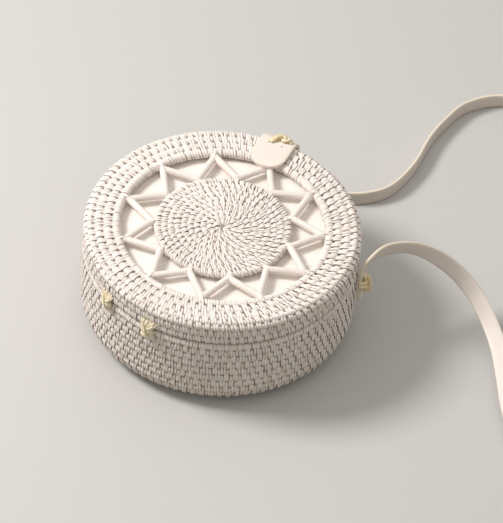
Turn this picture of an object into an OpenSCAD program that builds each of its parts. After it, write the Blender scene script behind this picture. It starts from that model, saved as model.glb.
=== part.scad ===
// Round coiled-cane bag lying on its back: a deep body, a hinged lid with an open star of
// wrapped cane round a coiled medallion, a leather tab with a magnet, and a leather strap.
// The origin is on the floor at the bag's axis, +Z up. The lid's hinge is at -Y.

/* [Bag] */
// Diameter of the bag over its side wall
wall_d = 183; // [160:1:220]
// Height of the closed bag, lying on its back
bag_h = 78; // [70:1:100]
// Height of the lid, from the seam to its face
lid_h = 19; // [16:0.5:26]
// Radius that the lid's rim is rounded with
rim_round = 8; // [6:0.5:11]
// Radius that the foot of the wall is rounded with
foot_round = 18; // [12:1:24]
// Running gap in the seam between body and lid
seam_gap = 0.3; // [0.2:0.1:0.6]

/* [Coiled cane] */
// Coils in the lid between the opening's edge and the seam, the edge roll included
lid_rows = 7; // [6:1:8]
// Coils in the body's wall
wall_rows = 12; // [11:1:14]
// Coils in the flat back, the start button not counted
back_rows = 12; // [10:1:14]
// Coils in the medallion, the start button not counted
medallion_rows = 9; // [8:1:12]
// Gap between coiled pieces that are sewn to each other
coil_gap = 0.1; // [0.05:0.05:0.2]
// How far the long stitches between two coils lie inside the coils' crowns
stitch_in = 0.7; // [0.4:0.1:1.2]
// How far the back's coils are pressed flat on the floor
pressed = 0.4; // [0.2:0.1:0.6]

/* [Open star] */
// Direction of the first inner point of the star
star_turn = -10.5; // [-16:0.5:16]
// Diameter of the opening in the lid's face, as a share of the bag's
opening_share = 0.732; // [0.68:0.004:0.76]
// Diameter of the medallion, as a share of the opening's
medallion_share = 0.672; // [0.6:0.004:0.72]
// Points of the star, each between two sticks
star_points = 11; // [9:1:13]
// Diameter of a wrapped stick
stick_d = 4.8; // [3.6:0.2:5.2]
// Distance from the opening's edge to the circle that the sticks' outer ends meet on
star_out_in = 1.5; // [1:0.25:4]
// Distance from the medallion's edge to the circle that their inner ends meet on
star_in_out = 1.5; // [1:0.25:4]
// Gap where a stick is sewn in, to its neighbour and to the edges
stick_gap = 0.1; // [0.05:0.05:0.2]

/* [Lining] */
// Thickness of the lining's board and cloth
lining_t = 0.8; // [0.6:0.1:1.2]
// Gap between the lining and the cane
lining_gap = 0.4; // [0.3:0.1:0.8]
// Depth of the lid's lining below the middle of the sticks
lining_drop = 5; // [4:0.25:7]

/* [Leather tab] */
// Direction of the tab from the axis, 90 being opposite the hinge
tab_angle = 107; // [90:1:120]
// Width of the tab
tab_w = 26; // [20:1:32]
// Thickness of the leather
tab_t = 2.2; // [1.6:0.1:2.8]
// How far the tab's round end reaches over the opening
tab_over = 7; // [2:0.5:11]
// How far the flap hangs down from the lid's face
flap_drop = 37; // [32:1:44]
// Diameter of each magnet
magnet_d = 12; // [8:1:14]
// Thickness of each magnet
magnet_t = 1.8; // [1.2:0.2:2.4]
// Depth of the magnets' middle below the seam
magnet_below = 11; // [9:0.5:14]
// Gap between the two magnets when the tab is shut
magnet_gap = 0.3; // [0.2:0.1:0.6]
// Diameter of the leather lace that ties the tab, the strap and the hinge
lace_d = 2.2; // [1.6:0.1:2.6]

/* [Hinge ties] */
// Angle between each tie and the middle of the hinge
tie_angle = 11; // [9:1:16]
// Length of the body's loop along the hinge
tie_w = 15; // [13:1:18]
// Distance of the hinge's axis from the wall
tie_out = 3.1; // [3:0.1:3.8]
// Gap between the lid's loops and the body's
tie_gap = 0.45; // [0.35:0.05:0.6]

/* [Strap] */
// Width of the strap
strap_w = 11; // [9:0.5:14]
// Thickness of the strap
strap_t = 2.2; // [1.6:0.1:2.8]
// Length of the end that is tied to the wall
strap_end_l = 26; // [20:1:32]
// Width of the narrower tongue that each end is tied by
strap_end_w = 8; // [6:0.5:9]
// Angle that a tied end stands off the wall by
strap_end_turn = 12; // [0:1:20]
// Height of the strap's ends where they leave the wall
strap_top = 57; // [52:1:60]
// Gap between the strap's ends and the wall
strap_seat = 0.5; // [0.4:0.1:0.8]

/* [Hidden] */
$fn = 64;
cut_over = 1;                    // how far a cutter runs past what it cuts

wall_r = wall_d / 2;
opening_r = wall_r * opening_share;
medallion_r = opening_r * medallion_share;
star_out_r = opening_r - star_out_in;
star_in_r = medallion_r + star_in_out;
seam_z = bag_h - lid_h;

// lid: the outer line runs from the opening's edge over the rim down to the seam
lid_flat = wall_r - rim_round - opening_r;
lid_bend = rim_round * PI / 2;
lid_skirt = lid_h - rim_round - seam_gap / 2;
lid_pitch = (lid_flat + lid_bend + lid_skirt) / lid_rows;
// body: the outer line runs from the seam down round the foot
body_bend = foot_round * PI / 2;
body_straight = seam_z - seam_gap / 2 - foot_round;
body_pitch = (body_straight + body_bend) / wall_rows;
// back: its coils lie round a start button
back_r = wall_r - foot_round - pressed - coil_gap;
back_pitch = back_r / (back_rows + 1.5);
medallion_pitch = medallion_r / (medallion_rows + 1.5);

lining_r = wall_r - lid_pitch - lining_gap;
star_step = 360 / star_points;
stick_z = bag_h - lid_pitch / 2;
lid_lining_z = stick_z - lining_drop;
back_t = back_pitch - pressed;

hinge_y = -(wall_r + tie_out);
rod_d = lace_d + tie_gap / 2;
ring_r = rod_d / 2 + tie_gap + lace_d / 2;
tie_x = -hinge_y * sin(tie_angle);
tie_leg_x = (tie_w - rod_d) / 2;
ring_x = ring_r;
tie_leg_drop = 5.4;              // height that the body's loop reaches down the wall
tie_shank_rise = 6.4;            // height that the lid's loops reach up the skirt
lace_seat = 0.3;                 // a lace's end lies this close to the coils

knot_ring_r = 0.6 * lace_d;      // a knot's turn of lace, drawn nearly shut

tab_seat = 0.2;                  // the tab lies this far above the coils
tab_z = bag_h + tab_seat;
magnet_back_r = wall_r + tab_seat;
flap_in_r = magnet_back_r + 2 * magnet_t + magnet_gap;
flap_axis_r = flap_in_r + tab_t / 2;
flap_axis_z = tab_z + tab_t / 2;
flap_gap = 0.3;                  // crease between the laced part and the flap
tab_end_r = opening_r - tab_over;
tab_hole_in = 9.5;               // distance of the lacing holes from the wall's outside
tab_hole_r = wall_r - tab_hole_in;
tab_hole_w = 9.4;                // distance between the two lacing holes
tab_knot_l = 8;                  // length of the knot on the tab

strap_in_r = wall_r + strap_seat + strap_w / 2 * sin(strap_end_turn);
strap_angles = [31, 169];        // directions of the strap's two ends
strap_hole_step = 9;             // distance between the two lacing holes in a strap end
strap_knot_drop = 11;            // depth of the knot's middle below the strap's top
strap_taper_l = 7;               // length over which an end narrows to its tongue
strap_rings_per_span = 2;        // rings of the strap's form from one point of its route to the next
function end_turn(side) = side == 0 ? -strap_end_turn : strap_end_turn;
function end_facing(side) = strap_angles[side] + end_turn(side);
function end_wide(side) = [-sin(end_facing(side)), cos(end_facing(side)), 0];
function end_point(side) =
    strap_in_r * [cos(strap_angles[side]), sin(strap_angles[side]), 0]
    + strap_t / 2 * [cos(end_facing(side)), sin(end_facing(side)), 0]
    + [0, 0, strap_top];

// The strap's free run, from one end to the other: its middle line, in millimetres
strap_route = [
    [80.8, 48.5, 57], [81.6, 50.1, 62.3], [82.6, 54.3, 66.2], [83.4, 60.4, 67.8],
    [84.5, 66.9, 67.3], [87, 75.2, 65], [91, 84.9, 61], [96.7, 94.5, 54], [104, 102.5, 46],
    [112.8, 108.7, 37], [122, 111.3, 29], [132.9, 110.8, 22], [146, 106.3, 16], [164, 95.5, 11],
    [181.5, 80, 8.5], [201.9, 60.5, 7.5], [228.2, 40.7, 7], [262.5, 35, 6], [290, 55, 6],
    [292, 92, 6], [272, 136, 6], [233, 182, 6], [186, 228, 6], [139, 267, 6], [90, 298, 6],
    [46, 305, 6], [12, 287, 6], [-2, 263, 6], [-2, 239, 6], [2, 217, 6], [11, 190, 6], [14, 164, 6],
    [9, 148, 6], [-2, 135, 6], [-27, 119, 6], [-46, 104, 8], [-62, 89, 14], [-75, 75.5, 22],
    [-86, 60, 33], [-93, 44.5, 44], [-96, 33, 52], [-97, 26, 57.5], [-96, 21, 60.5],
    [-94.3, 18.6, 60.4], [-93, 18, 57]];
// The direction of the strap's width at each of these points
strap_lie_shares = [
    [-0.3, 0.9, 0], [-0.45, 0.8, 0.3], [-0.5, 0.3, 0.8], [-0.2, 0, 1], [0.1, 0, 1], [0.25, 0, 1],
    [0.25, 0.1, 1], [0.2, 0.2, 1], [0.1, 0.4, 0.9], [0.2, 0.6, 0.7], [0.3, 0.7, 0.5], [0.4, 0.8, 0.4],
    [0.5, 0.8, 0.3], [0.6, 0.8, 0.3], [0.6, 0.7, 0.4], [0.6, 0.6, 0.7], [0.2, 0.4, 1], [0, 0, 1],
    [0, 0, 1], [0, 0, 1], [0, 0, 1], [0, 0, 1], [0, 0, 1], [0, 0, 1], [0, 0, 1], [0, 0, 1],
    [0, 0, 1], [0, 0, 1], [0, 0, 1], [0, 0, 1], [0, 0, 1], [0, 0, 1], [0, 0, 1], [0, 0, 1],
    [0, 0, 1], [0, 0, 1], [0, 0, 1], [0, 0, 1], [0, 0, 1], [-0.1, 0.1, 1], [-0.4, 0, 0.9],
    [-0.8, -0.3, 0.5], [-0.6, -0.7, 0.4], [-0.3, -0.9, 0.2], [0, -1, 0]];

function stick_name(k) = str("star_stick_", k < 9 ? "0" : "", k + 1);

// coils: a row of touching cane rolls seen in section, sewn together along their middles

// Middle of a lid coil at distance s along the lid's outer line
function lid_angle(s) = 90 - 90 * min(max((s - lid_flat) / lid_bend, 0), 1);
function lid_middle(s) =
    let (a = lid_angle(s),
         out = rim_round - lid_pitch / 2,
         flat_back = max(lid_flat - s, 0),
         skirt_down = max(s - lid_flat - lid_bend, 0))
    [wall_r - rim_round + out * cos(a) - flat_back,
     bag_h - rim_round + out * sin(a) - skirt_down];

// Middle of a body coil at distance s along the body's outer line
function body_angle(s) = -90 * min(max((s - body_straight) / body_bend, 0), 1);
function body_middle(s) =
    let (a = body_angle(s),
         out = foot_round - body_pitch / 2)
    [wall_r - foot_round + out * cos(a),
     foot_round + out * sin(a) + max(body_straight - s, 0)];

module coil_section(middles, roll_d) {
    for (m = middles)
        translate(m) circle(d = roll_d);
    for (i = [0 : 1 : len(middles) - 2])
        stitches(middles[i], middles[i + 1], roll_d - 2 * stitch_in);
}

// The long stitches that fill the groove between two coils, on both sides
module stitches(from, to, thick) {
    along = to - from;
    side = [-along[1], along[0]] / norm(along) * thick / 2;
    polygon([from + side, from - side, to - side, to + side]);
}

module coiled(middles, roll_d) {
    rotate_extrude($fn = 128)
        coil_section(middles, roll_d);
}

// body

module body_wall() {
    color("#EFE6DC")
        coiled([for (i = [0 : wall_rows - 1]) body_middle((i + 0.5) * body_pitch)],
               body_pitch - coil_gap);
}

module body_back() {
    color("#EFE6DC")
        rotate_extrude($fn = 128)
            intersection() {
                union() {
                    coil_section([for (i = [1 : back_rows]) [(i + 1) * back_pitch, back_pitch / 2 - pressed]],
                                 back_pitch);
                    translate([0, -pressed])
                        square([2 * back_pitch, back_pitch]);
                }
                square([wall_r, bag_h]);
            }
}

// The cloth and board that line the floor, with the side's turned-in corner outside them
module body_lining_floor() {
    color("#F1E9DD")
        translate([0, 0, back_t + lining_gap])
            cylinder(r = wall_r - foot_round, h = lining_t, $fn = 128);
}

module body_lining_side() {
    corner_r = foot_round - body_pitch - lining_gap;
    color("#F1E9DD")
        rotate_extrude($fn = 128) {
            intersection() {
                translate([wall_r - foot_round, foot_round])
                    difference() {
                        circle(r = corner_r, $fn = 96);
                        circle(r = corner_r - lining_t, $fn = 96);
                    }
                translate([wall_r - foot_round + lining_gap, 0])
                    square([foot_round, foot_round]);
            }
            translate([wall_r - foot_round + corner_r - lining_t, foot_round])
                square([lining_t, seam_z - seam_gap - lining_gap - foot_round]);
        }
}

// lid

module lid_shell() {
    color("#F3EBE3")
        coiled([for (i = [1 : lid_rows - 1]) lid_middle((i + 0.5) * lid_pitch)],
               lid_pitch - coil_gap);
}

module lid_edge_roll() {
    color("#F5EDE5")
        coiled([lid_middle(0.5 * lid_pitch)], lid_pitch - coil_gap);
}

module medallion() {
    button_r = 2 * medallion_pitch;
    color("#F5EDE5")
        rotate_extrude($fn = 128) {
            coil_section([for (i = [1 : medallion_rows])
                              [(i + 1) * medallion_pitch, stick_z]],
                         medallion_pitch);
            translate([0, stick_z - medallion_pitch / 2])
                square([button_r, medallion_pitch]);
        }
}

// One wrapped stick of the star, cut to lie against its two neighbours and both edges
module star_stick(k) {
    odd = k % 2;
    first = [star_in_r, star_turn + k * star_step / 2];
    next = [star_out_r, star_turn + (k + 1) * star_step / 2];
    a = odd ? [star_out_r, first[1]] : first;
    b = odd ? [star_in_r, next[1]] : next;
    from = [a[0] * cos(a[1]), a[0] * sin(a[1]), stick_z];
    to = [b[0] * cos(b[1]), b[0] * sin(b[1]), stick_z];
    color("#F2E6D6")
        intersection() {
            rod_between(from, to, stick_d, stick_d);
            translate([0, 0, stick_z - stick_d])
                linear_extrude(2 * stick_d)
                    stick_sector(k);
        }
}

// The plan of the space that belongs to one stick
module stick_sector(k) {
    half = star_step / 4;
    tip = stick_gap / 2 / sin(half);
    reach = opening_r / cos(half) + stick_d;
    intersection() {
        rotate(star_turn + k * star_step / 2 + half)
            polygon([[tip, 0],
                     [tip + reach * cos(half), -reach * sin(half)],
                     [tip + reach * cos(half), reach * sin(half)]]);
        difference() {
            circle(r = opening_r - stick_gap, $fn = 128);
            circle(r = medallion_r + stick_gap, $fn = 128);
        }
    }
}

// A round rod from one point to another, run past both by a length
module rod_between(from, to, d, past) {
    along = to - from;
    l = norm(along);
    translate(from)
        rotate([0, acos(along[2] / l), atan2(along[1], along[0])])
            translate([0, 0, -past])
                cylinder(d = d, h = l + 2 * past);
}

module lid_lining_panel() {
    color("#EDE3D6")
        translate([0, 0, lid_lining_z - lining_t])
            cylinder(r = lining_r, h = lining_t, $fn = 128);
}

module lid_lining_side() {
    low = seam_z + seam_gap + lining_gap;
    color("#EDE3D6")
        translate([0, 0, low])
            difference() {
                cylinder(r = lining_r, h = lid_lining_z - lining_t - coil_gap - low, $fn = 128);
                translate([0, 0, -cut_over])
                    cylinder(r = lining_r - lining_t, h = lid_h + cut_over, $fn = 128);
            }
}

// hinge: two laces on the body, each a straight loop that two loops of the lid's lace go round

module at_tie(side) {
    translate([side * tie_x, hinge_y, seam_z])
        children();
}

// Where a lace meets the wall, seen from the tie on its side, for the part of it nearest the middle
function wall_in(side, x, d) =
    -hinge_y - sqrt(pow(wall_r + lace_seat, 2) - pow(abs(side * tie_x + x) - d / 2, 2));

module hinge_body_loops() {
    color("#E9CFA0")
        for (side = [-1, 1])
            at_tie(side) {
                rod_between([-tie_leg_x, 0, 0], [tie_leg_x, 0, 0], rod_d, rod_d / 2);
                for (x = [-tie_leg_x, tie_leg_x]) {
                    rod_between([x, 0, 0], [x, 0, -tie_leg_drop], rod_d, rod_d / 2);
                    rod_between([x, -rod_d / 2, -tie_leg_drop],
                                [x, wall_in(side, x, rod_d), -tie_leg_drop], rod_d, 0);
                }
            }
}

module hinge_lid_loops() {
    color("#EAD5AC")
        for (side = [-1, 1], x = [-ring_x, ring_x])
            at_tie(side) {
                translate([x, 0, 0])
                    rotate([0, 90, 0])
                        lace_ring(ring_r);
                rod_between([x, 0, ring_r], [x, 0, tie_shank_rise], lace_d, lace_d / 2);
                rod_between([x, -lace_d / 2, tie_shank_rise],
                            [x, wall_in(side, x, lace_d), tie_shank_rise], lace_d, 0);
            }
}

// A ring of lace round the Z axis
module lace_ring(r) {
    rotate_extrude()
        translate([r, 0])
            circle(d = lace_d, $fn = 32);
}

// tab

module tab_place() {
    rotate(tab_angle)
        children();
}

module tab_base() {
    end_middle = tab_end_r + tab_w / 2;
    base_out = flap_axis_r - tab_t / 2 - flap_gap;
    color("#EFE3CF")
        tab_place()
            translate([0, 0, tab_z])
                linear_extrude(tab_t)
                    difference() {
                        union() {
                            translate([end_middle, 0])
                                circle(d = tab_w);
                            translate([end_middle, -tab_w / 2])
                                square([base_out - end_middle, tab_w]);
                        }
                        for (y = [-tab_hole_w / 2, tab_hole_w / 2])
                            translate([tab_hole_r, y])
                                circle(d = lace_d / 2);
                    }
}

// The lace on the tab: two bars from the holes to a knot at the rim, and its loose end
module tab_knot() {
    knot_r = tab_hole_r + tab_knot_l / 2;
    lace_z = tab_z + tab_t + lace_d / 2;
    color("#EACB94")
        tab_place() {
            for (y = [-tab_hole_w / 2, tab_hole_w / 2])
                rod_between([tab_hole_r, y, lace_z], [knot_r, 0, lace_z], lace_d, lace_d / 2);
            rod_between([knot_r, 0, lace_z], [knot_r + tab_knot_l / 2, 0, lace_z], lace_d, lace_d / 2);
            translate([knot_r, 0, lace_z + lace_d / 2])
                lace_ring(knot_ring_r);
        }
}

module tab_flap() {
    color("#EFE3CF")
        tab_place()
            translate([flap_axis_r, 0, flap_axis_z]) {
                rotate([90, 0, 0])
                    cylinder(d = tab_t, h = tab_w, center = true);
                translate([-tab_t / 2, 0, 0])
                    rotate([0, 90, 0])
                        linear_extrude(tab_t)
                            flap_outline();
            }
}

// The flap seen from outside: straight sides and a rounded lower end
module flap_outline() {
    translate([0, -tab_w / 2])
        square([flap_drop - tab_w / 2, tab_w]);
    translate([flap_drop - tab_w / 2, 0])
        circle(d = tab_w);
}

module magnet_at(r) {
    tab_place()
        translate([r, 0, seam_z - magnet_below])
            rotate([0, 90, 0])
                cylinder(d = magnet_d, h = magnet_t);
}

module flap_magnet() {
    color("#C9CBCD")
        magnet_at(magnet_back_r + magnet_t + magnet_gap);
}

module wall_magnet() {
    color("#C9CBCD")
        magnet_at(magnet_back_r);
}

// strap

// The place where an end of the strap is tied, with its outside along +X and down as seen
module at_strap_end(side) {
    rotate(strap_angles[side])
        translate([strap_in_r, 0, 0])
            rotate(end_turn(side))
                children();
}

module strap_end(side) {
    round_from = strap_end_l - strap_end_w / 2;
    color("#EFE3CF")
        at_strap_end(side)
            translate([0, 0, strap_top])
                rotate([0, 90, 0])
                    linear_extrude(strap_t)
                        difference() {
                            polygon(concat(
                                [[strap_taper_l, strap_end_w / 2], [0, strap_w / 2],
                                 [0, -strap_w / 2], [strap_taper_l, -strap_end_w / 2]],
                                [for (a = [-90 : 10 : 90])
                                    [round_from, 0] + strap_end_w / 2 * [cos(a), sin(a)]]));
                            for (step = [-strap_hole_step / 2, strap_hole_step / 2])
                                translate([strap_knot_drop + step, 0])
                                    circle(d = lace_d / 2);
                        }
}

// The lace that ties a strap end: a bar between the holes, bound once across and knotted
module strap_knot(side) {
    color("#EACB94")
        at_strap_end(side)
            translate([strap_t + lace_d / 2, 0, strap_top - strap_knot_drop]) {
                cylinder(d = lace_d, h = strap_hole_step + lace_d, center = true);
                rotate([90, 0, 0])
                    cylinder(d = lace_d, h = strap_end_w, center = true);
                translate([lace_d / 2, 0, 0])
                    rotate([0, 90, 0])
                        lace_ring(knot_ring_r);
            }
}

module strap_end_a() {
    strap_end(0);
}

module strap_end_b() {
    strap_end(1);
}

module strap_knot_a() {
    strap_knot(0);
}

module strap_knot_b() {
    strap_knot(1);
}

// The strap's run goes smoothly through its points; each ring is a flat oblong with eased corners
run_points = concat(
    [end_point(0)],
    [for (i = [1 : len(strap_route) - 2]) strap_route[i]],
    [end_point(1)]);
run_last = len(run_points) - 1;
run_rings = run_last * strap_rings_per_span;
function pick(list, i) = list[min(max(i, 0), len(list) - 1)];
function curve(list, t) =
    let (i = min(floor(t), len(list) - 2), u = t - i,
         p0 = pick(list, i - 1), p1 = pick(list, i), p2 = pick(list, i + 1), p3 = pick(list, i + 2))
    0.5 * (2 * p1 + (p2 - p0) * u + (2 * p0 - 5 * p1 + 4 * p2 - p3) * u * u
           + (3 * p1 - p0 - 3 * p2 + p3) * u * u * u);
function unit(v) = v / norm(v);
function run_at(k) = curve(run_points, k / strap_rings_per_span);
function run_along(k) =
    k == 0 || k == run_rings
    ? [0, 0, k == 0 ? 1 : -1]
    : unit(run_at(min(k + 0.5, run_rings)) - run_at(max(k - 0.5, 0)));
function run_wide(k) =
    let (t = run_along(k),
         w = k == 0 ? end_wide(0)
           : k == run_rings ? end_wide(1)
           : curve(strap_lie_shares, k / strap_rings_per_span))
    unit(w - t * (w * t));
eased = strap_t / 4;
strap_section = [
    [strap_w / 2, strap_t / 2 - eased], [strap_w / 2 - eased, strap_t / 2],
    [-strap_w / 2 + eased, strap_t / 2], [-strap_w / 2, strap_t / 2 - eased],
    [-strap_w / 2, -strap_t / 2 + eased], [-strap_w / 2 + eased, -strap_t / 2],
    [strap_w / 2 - eased, -strap_t / 2], [strap_w / 2, -strap_t / 2 + eased]];
sides = len(strap_section);

module strap() {
    points = [for (k = [0 : run_rings])
                  let (p = run_at(k), w = run_wide(k), n = cross(run_along(k), w))
                  for (s = strap_section) p + w * s[0] + n * s[1]];
    last = run_rings * sides;
    walls = [for (k = [0 : run_rings - 1], j = [0 : sides - 1])
                 let (a = k * sides + j, b = k * sides + (j + 1) % sides)
                 each [[a, b, b + sides], [a, b + sides, a + sides]]];
    ends = [[for (j = [sides - 1 : -1 : 0]) j], [for (j = [0 : sides - 1]) last + j]];
    color("#F3EADB")
        polyhedron(points, concat(walls, ends));
}

body_back();
body_wall();
body_lining_floor();
body_lining_side();
lid_shell();
lid_edge_roll();
medallion();
lid_lining_panel();
lid_lining_side();
hinge_body_loops();
hinge_lid_loops();
tab_base();
tab_knot();
tab_flap();
flap_magnet();
wall_magnet();
strap_end_a();
strap_end_b();
strap_knot_a();
strap_knot_b();
strap();
for (k = [0 : 2 * star_points - 1])
    star_stick(k);
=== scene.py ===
"""Dresses the round coiled-cane bag: woven cane, wrapped star sticks, leather, lace and cloth.

Every length in the classes is in millimetres. Meshes are made in metres, where the frame has them.
"""

import logging
import math
from collections.abc import Callable
from dataclasses import dataclass, field
from enum import Enum

import bpy
import numpy as np
from mathutils import Matrix, Vector


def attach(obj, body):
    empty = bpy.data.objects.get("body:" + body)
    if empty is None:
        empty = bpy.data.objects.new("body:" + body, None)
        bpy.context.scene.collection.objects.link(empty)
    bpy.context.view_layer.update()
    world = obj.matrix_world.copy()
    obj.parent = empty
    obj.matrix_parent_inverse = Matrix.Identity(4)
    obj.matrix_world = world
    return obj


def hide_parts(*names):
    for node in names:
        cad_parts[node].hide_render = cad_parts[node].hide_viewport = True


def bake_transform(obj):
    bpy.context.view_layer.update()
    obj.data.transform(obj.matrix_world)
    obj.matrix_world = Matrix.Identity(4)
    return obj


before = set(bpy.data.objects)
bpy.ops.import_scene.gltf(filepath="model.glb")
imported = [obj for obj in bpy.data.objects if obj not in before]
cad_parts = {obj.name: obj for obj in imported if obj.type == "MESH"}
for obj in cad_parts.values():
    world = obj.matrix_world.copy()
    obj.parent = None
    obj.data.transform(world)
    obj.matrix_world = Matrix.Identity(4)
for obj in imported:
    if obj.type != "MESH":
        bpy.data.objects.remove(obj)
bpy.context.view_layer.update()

LOG = logging.getLogger("bag")
MM = 0.001
MERGED_MM = 0.01  # Points nearer than this are one
ROUND_STEPS = 96  # Steps in the turn of a coil or of a round board
SIDE_STEPS = 120  # Steps in the turn of a side's lining


class Body(Enum):
    """The bodies of the frame that pieces ride on."""

    BASKET = "body"
    LID = "lid"
    FLAP = "flap"


class Slot(Enum):
    """The material slots that the finishes belong to."""

    CANE = "painted_cane"
    STICK = "wrapped_stick"
    LINING = "lining"
    LEATHER = "strap_leather"
    LACE = "lace"


# Small tools


def linear(hex_colour: str) -> tuple[float, float, float, float]:
    """Turns an sRGB hex colour to linear light.

    Args:
        hex_colour: Six hex digits, with or without the leading mark.

    Returns:
        Red, green, blue and an alpha of one.
    """
    digits = hex_colour.lstrip("#")
    parts = [int(digits[i : i + 2], 16) / 255 for i in (0, 2, 4)]
    red, green, blue = (p / 12.92 if p <= 0.04045 else ((p + 0.055) / 1.055) ** 2.4 for p in parts)
    return red, green, blue, 1.0


def set_inputs(node: bpy.types.Node, inputs: dict) -> None:
    """Sets a node's inputs, or links them.

    Args:
        node: The node.
        inputs: Input name or number to a value, to a node whose first output feeds it, or to an output.
    """
    for key, value in inputs.items():
        if isinstance(value, bpy.types.Node):
            value = value.outputs[0]
        if isinstance(value, bpy.types.NodeSocket):
            node.id_data.links.new(value, node.inputs[key])
        else:
            node.inputs[key].default_value = value


def add_node(
    tree: bpy.types.NodeTree, kind: str, inputs: dict | None = None, **settings: object
) -> bpy.types.Node:
    """Adds a node with its settings and links.

    Args:
        tree: The material's node tree.
        kind: Blender's name of the node type, without ShaderNode before it.
        inputs: What set_inputs takes.
        settings: The node's own properties.

    Returns:
        The new node.
    """
    node = tree.nodes.new("ShaderNode" + kind)
    for name, value in settings.items():
        setattr(node, name, value)
    set_inputs(node, inputs or {})
    return node


def only(piece: bpy.types.Object | None = None) -> None:
    """Deselects everything, then selects and activates one piece.

    Args:
        piece: The object to work on, or None to leave nothing selected.
    """
    for other in list(bpy.context.selected_objects):
        other.select_set(False)
    if piece is not None:
        piece.select_set(True)
        bpy.context.view_layer.objects.active = piece


def points_of(piece: bpy.types.Object) -> np.ndarray:
    """Gives a piece's vertices in millimetres."""
    flat = np.zeros(len(piece.data.vertices) * 3)
    piece.data.vertices.foreach_get("co", flat)
    return flat.reshape(-1, 3) / MM


def set_points(piece: bpy.types.Object, points: np.ndarray) -> None:
    """Puts a piece's vertices at new places, in millimetres."""
    piece.data.vertices.foreach_set("co", (points * MM).astype(np.float32).ravel())
    piece.data.update()


def take_mesh(piece: bpy.types.Object) -> tuple[np.ndarray, list[list[int]]]:
    """Takes a modelled shape's mesh and removes the shape.

    Args:
        piece: The modelled shape.

    Returns:
        Its points in millimetres, and the vertex numbers of each face.
    """
    points, mesh = points_of(piece), piece.data
    faces = [list(face.vertices) for face in mesh.polygons]
    bpy.data.objects.remove(piece)
    bpy.data.meshes.remove(mesh)
    return points, faces


def ease(values: np.ndarray, low: float, high: float) -> np.ndarray:
    """Goes smoothly from 0 below one value to 1 above another."""
    share = np.clip((values - low) / (high - low), 0, 1)
    return share * share * (3 - 2 * share)


@dataclass
class Gathered:
    """Points, faces and per-point values that become one mesh piece.

    Attributes:
        points: Arrays of points in millimetres.
        faces: Lists of vertex numbers.
        values: Arrays of one number per point, by attribute name.
        vectors: Arrays of three numbers per point, by attribute name.
        count: How many points there are so far.
    """

    points: list = field(default_factory=list)
    faces: list = field(default_factory=list)
    values: dict = field(default_factory=dict)
    vectors: dict = field(default_factory=dict)
    count: int = 0

    def add(
        self, points: np.ndarray, faces: np.ndarray | list, values: dict, vectors: dict | None = None
    ) -> None:
        """Adds a part to the piece.

        Args:
            points: The part's points in millimetres.
            faces: The part's faces, numbered from its own first point.
            values: One number per point, or one for all, by attribute name.
            vectors: Three numbers per point, by attribute name.
        """
        size = len(points)
        self.points.append(points)
        if isinstance(faces, np.ndarray):
            self.faces.extend((faces + self.count).tolist())
        else:
            self.faces.extend([[i + self.count for i in face] for face in faces])
        for name, value in values.items():
            self.values.setdefault(name, []).append(np.broadcast_to(np.asarray(value, float), (size,)))
        for name, value in (vectors or {}).items():
            self.vectors.setdefault(name, []).append(np.asarray(value, float).reshape(size, 3))
        self.count += size

    def make(self, name: str) -> bpy.types.Object:
        """Makes the mesh object, smooth all over.

        Args:
            name: The piece's name.

        Returns:
            The new object, at the origin.
        """
        mesh = bpy.data.meshes.new(name)
        mesh.from_pydata((np.vstack(self.points) * MM).tolist(), [], self.faces)
        mesh.polygons.foreach_set("use_smooth", np.ones(len(mesh.polygons), dtype=bool))
        for key, parts in self.values.items():
            store = mesh.attributes.new(key, "FLOAT", "POINT")
            store.data.foreach_set("value", np.concatenate(parts).astype(np.float32))
        for key, parts in self.vectors.items():
            store = mesh.attributes.new(key, "FLOAT_VECTOR", "POINT")
            store.data.foreach_set("vector", np.vstack(parts).astype(np.float32).ravel())
        mesh.update()
        piece = bpy.data.objects.new(name, mesh)
        bpy.context.scene.collection.objects.link(piece)
        return piece


def dress(piece: bpy.types.Object, slot: Slot, material: bpy.types.Material, nodes: tuple[str, ...]) -> None:
    """Gives a piece its material and hides the CAD nodes that it stands for.

    Args:
        piece: The finished piece.
        slot: The slot that its finish belongs to; not used.
        material: Its material.
        nodes: The CAD nodes that it stands for.
    """
    piece.data.materials.clear()
    piece.data.materials.append(material)
    if nodes:
        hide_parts(*nodes)


def finish_piece(
    piece: bpy.types.Object, body: Body, slot: Slot, material: bpy.types.Material, *nodes: str
) -> bpy.types.Object:
    """Dresses a piece that rides on one body.

    Args:
        piece: The finished piece.
        body: The body that it rides on.
        slot: The slot that its finish belongs to.
        material: Its material.
        nodes: The CAD nodes that it stands for.

    Returns:
        The same piece.
    """
    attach(piece, body.value)
    dress(piece, slot, material, nodes)
    LOG.info("%s: %d points, rides on %s", piece.name, len(piece.data.vertices), body.value)
    return piece


def finish_bent(
    piece: bpy.types.Object,
    bodies: tuple[Body, Body],
    bend: tuple[np.ndarray, np.ndarray],
    slot: Slot,
    material: bpy.types.Material,
    *nodes: str,
) -> None:
    """Dresses a piece that bends between two bodies: bakes its place into its mesh and gives it its material,
    without attaching it to either body.

    Args:
        piece: The finished piece.
        bodies: The two bodies.
        bend: Where it leaves the first body and where it has joined the second; not used.
        slot: The slot that its finish belongs to.
        material: Its material.
        nodes: The CAD nodes that it stands for.
    """
    first, second = (body.value for body in bodies)
    start, end = (tuple(np.array(place) * MM) for place in bend)
    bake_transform(piece)
    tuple(start)
    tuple(end)
    dress(piece, slot, material, nodes)
    LOG.info("%s: %d points, bends between %s and %s", piece.name, len(piece.data.vertices), first, second)


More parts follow.
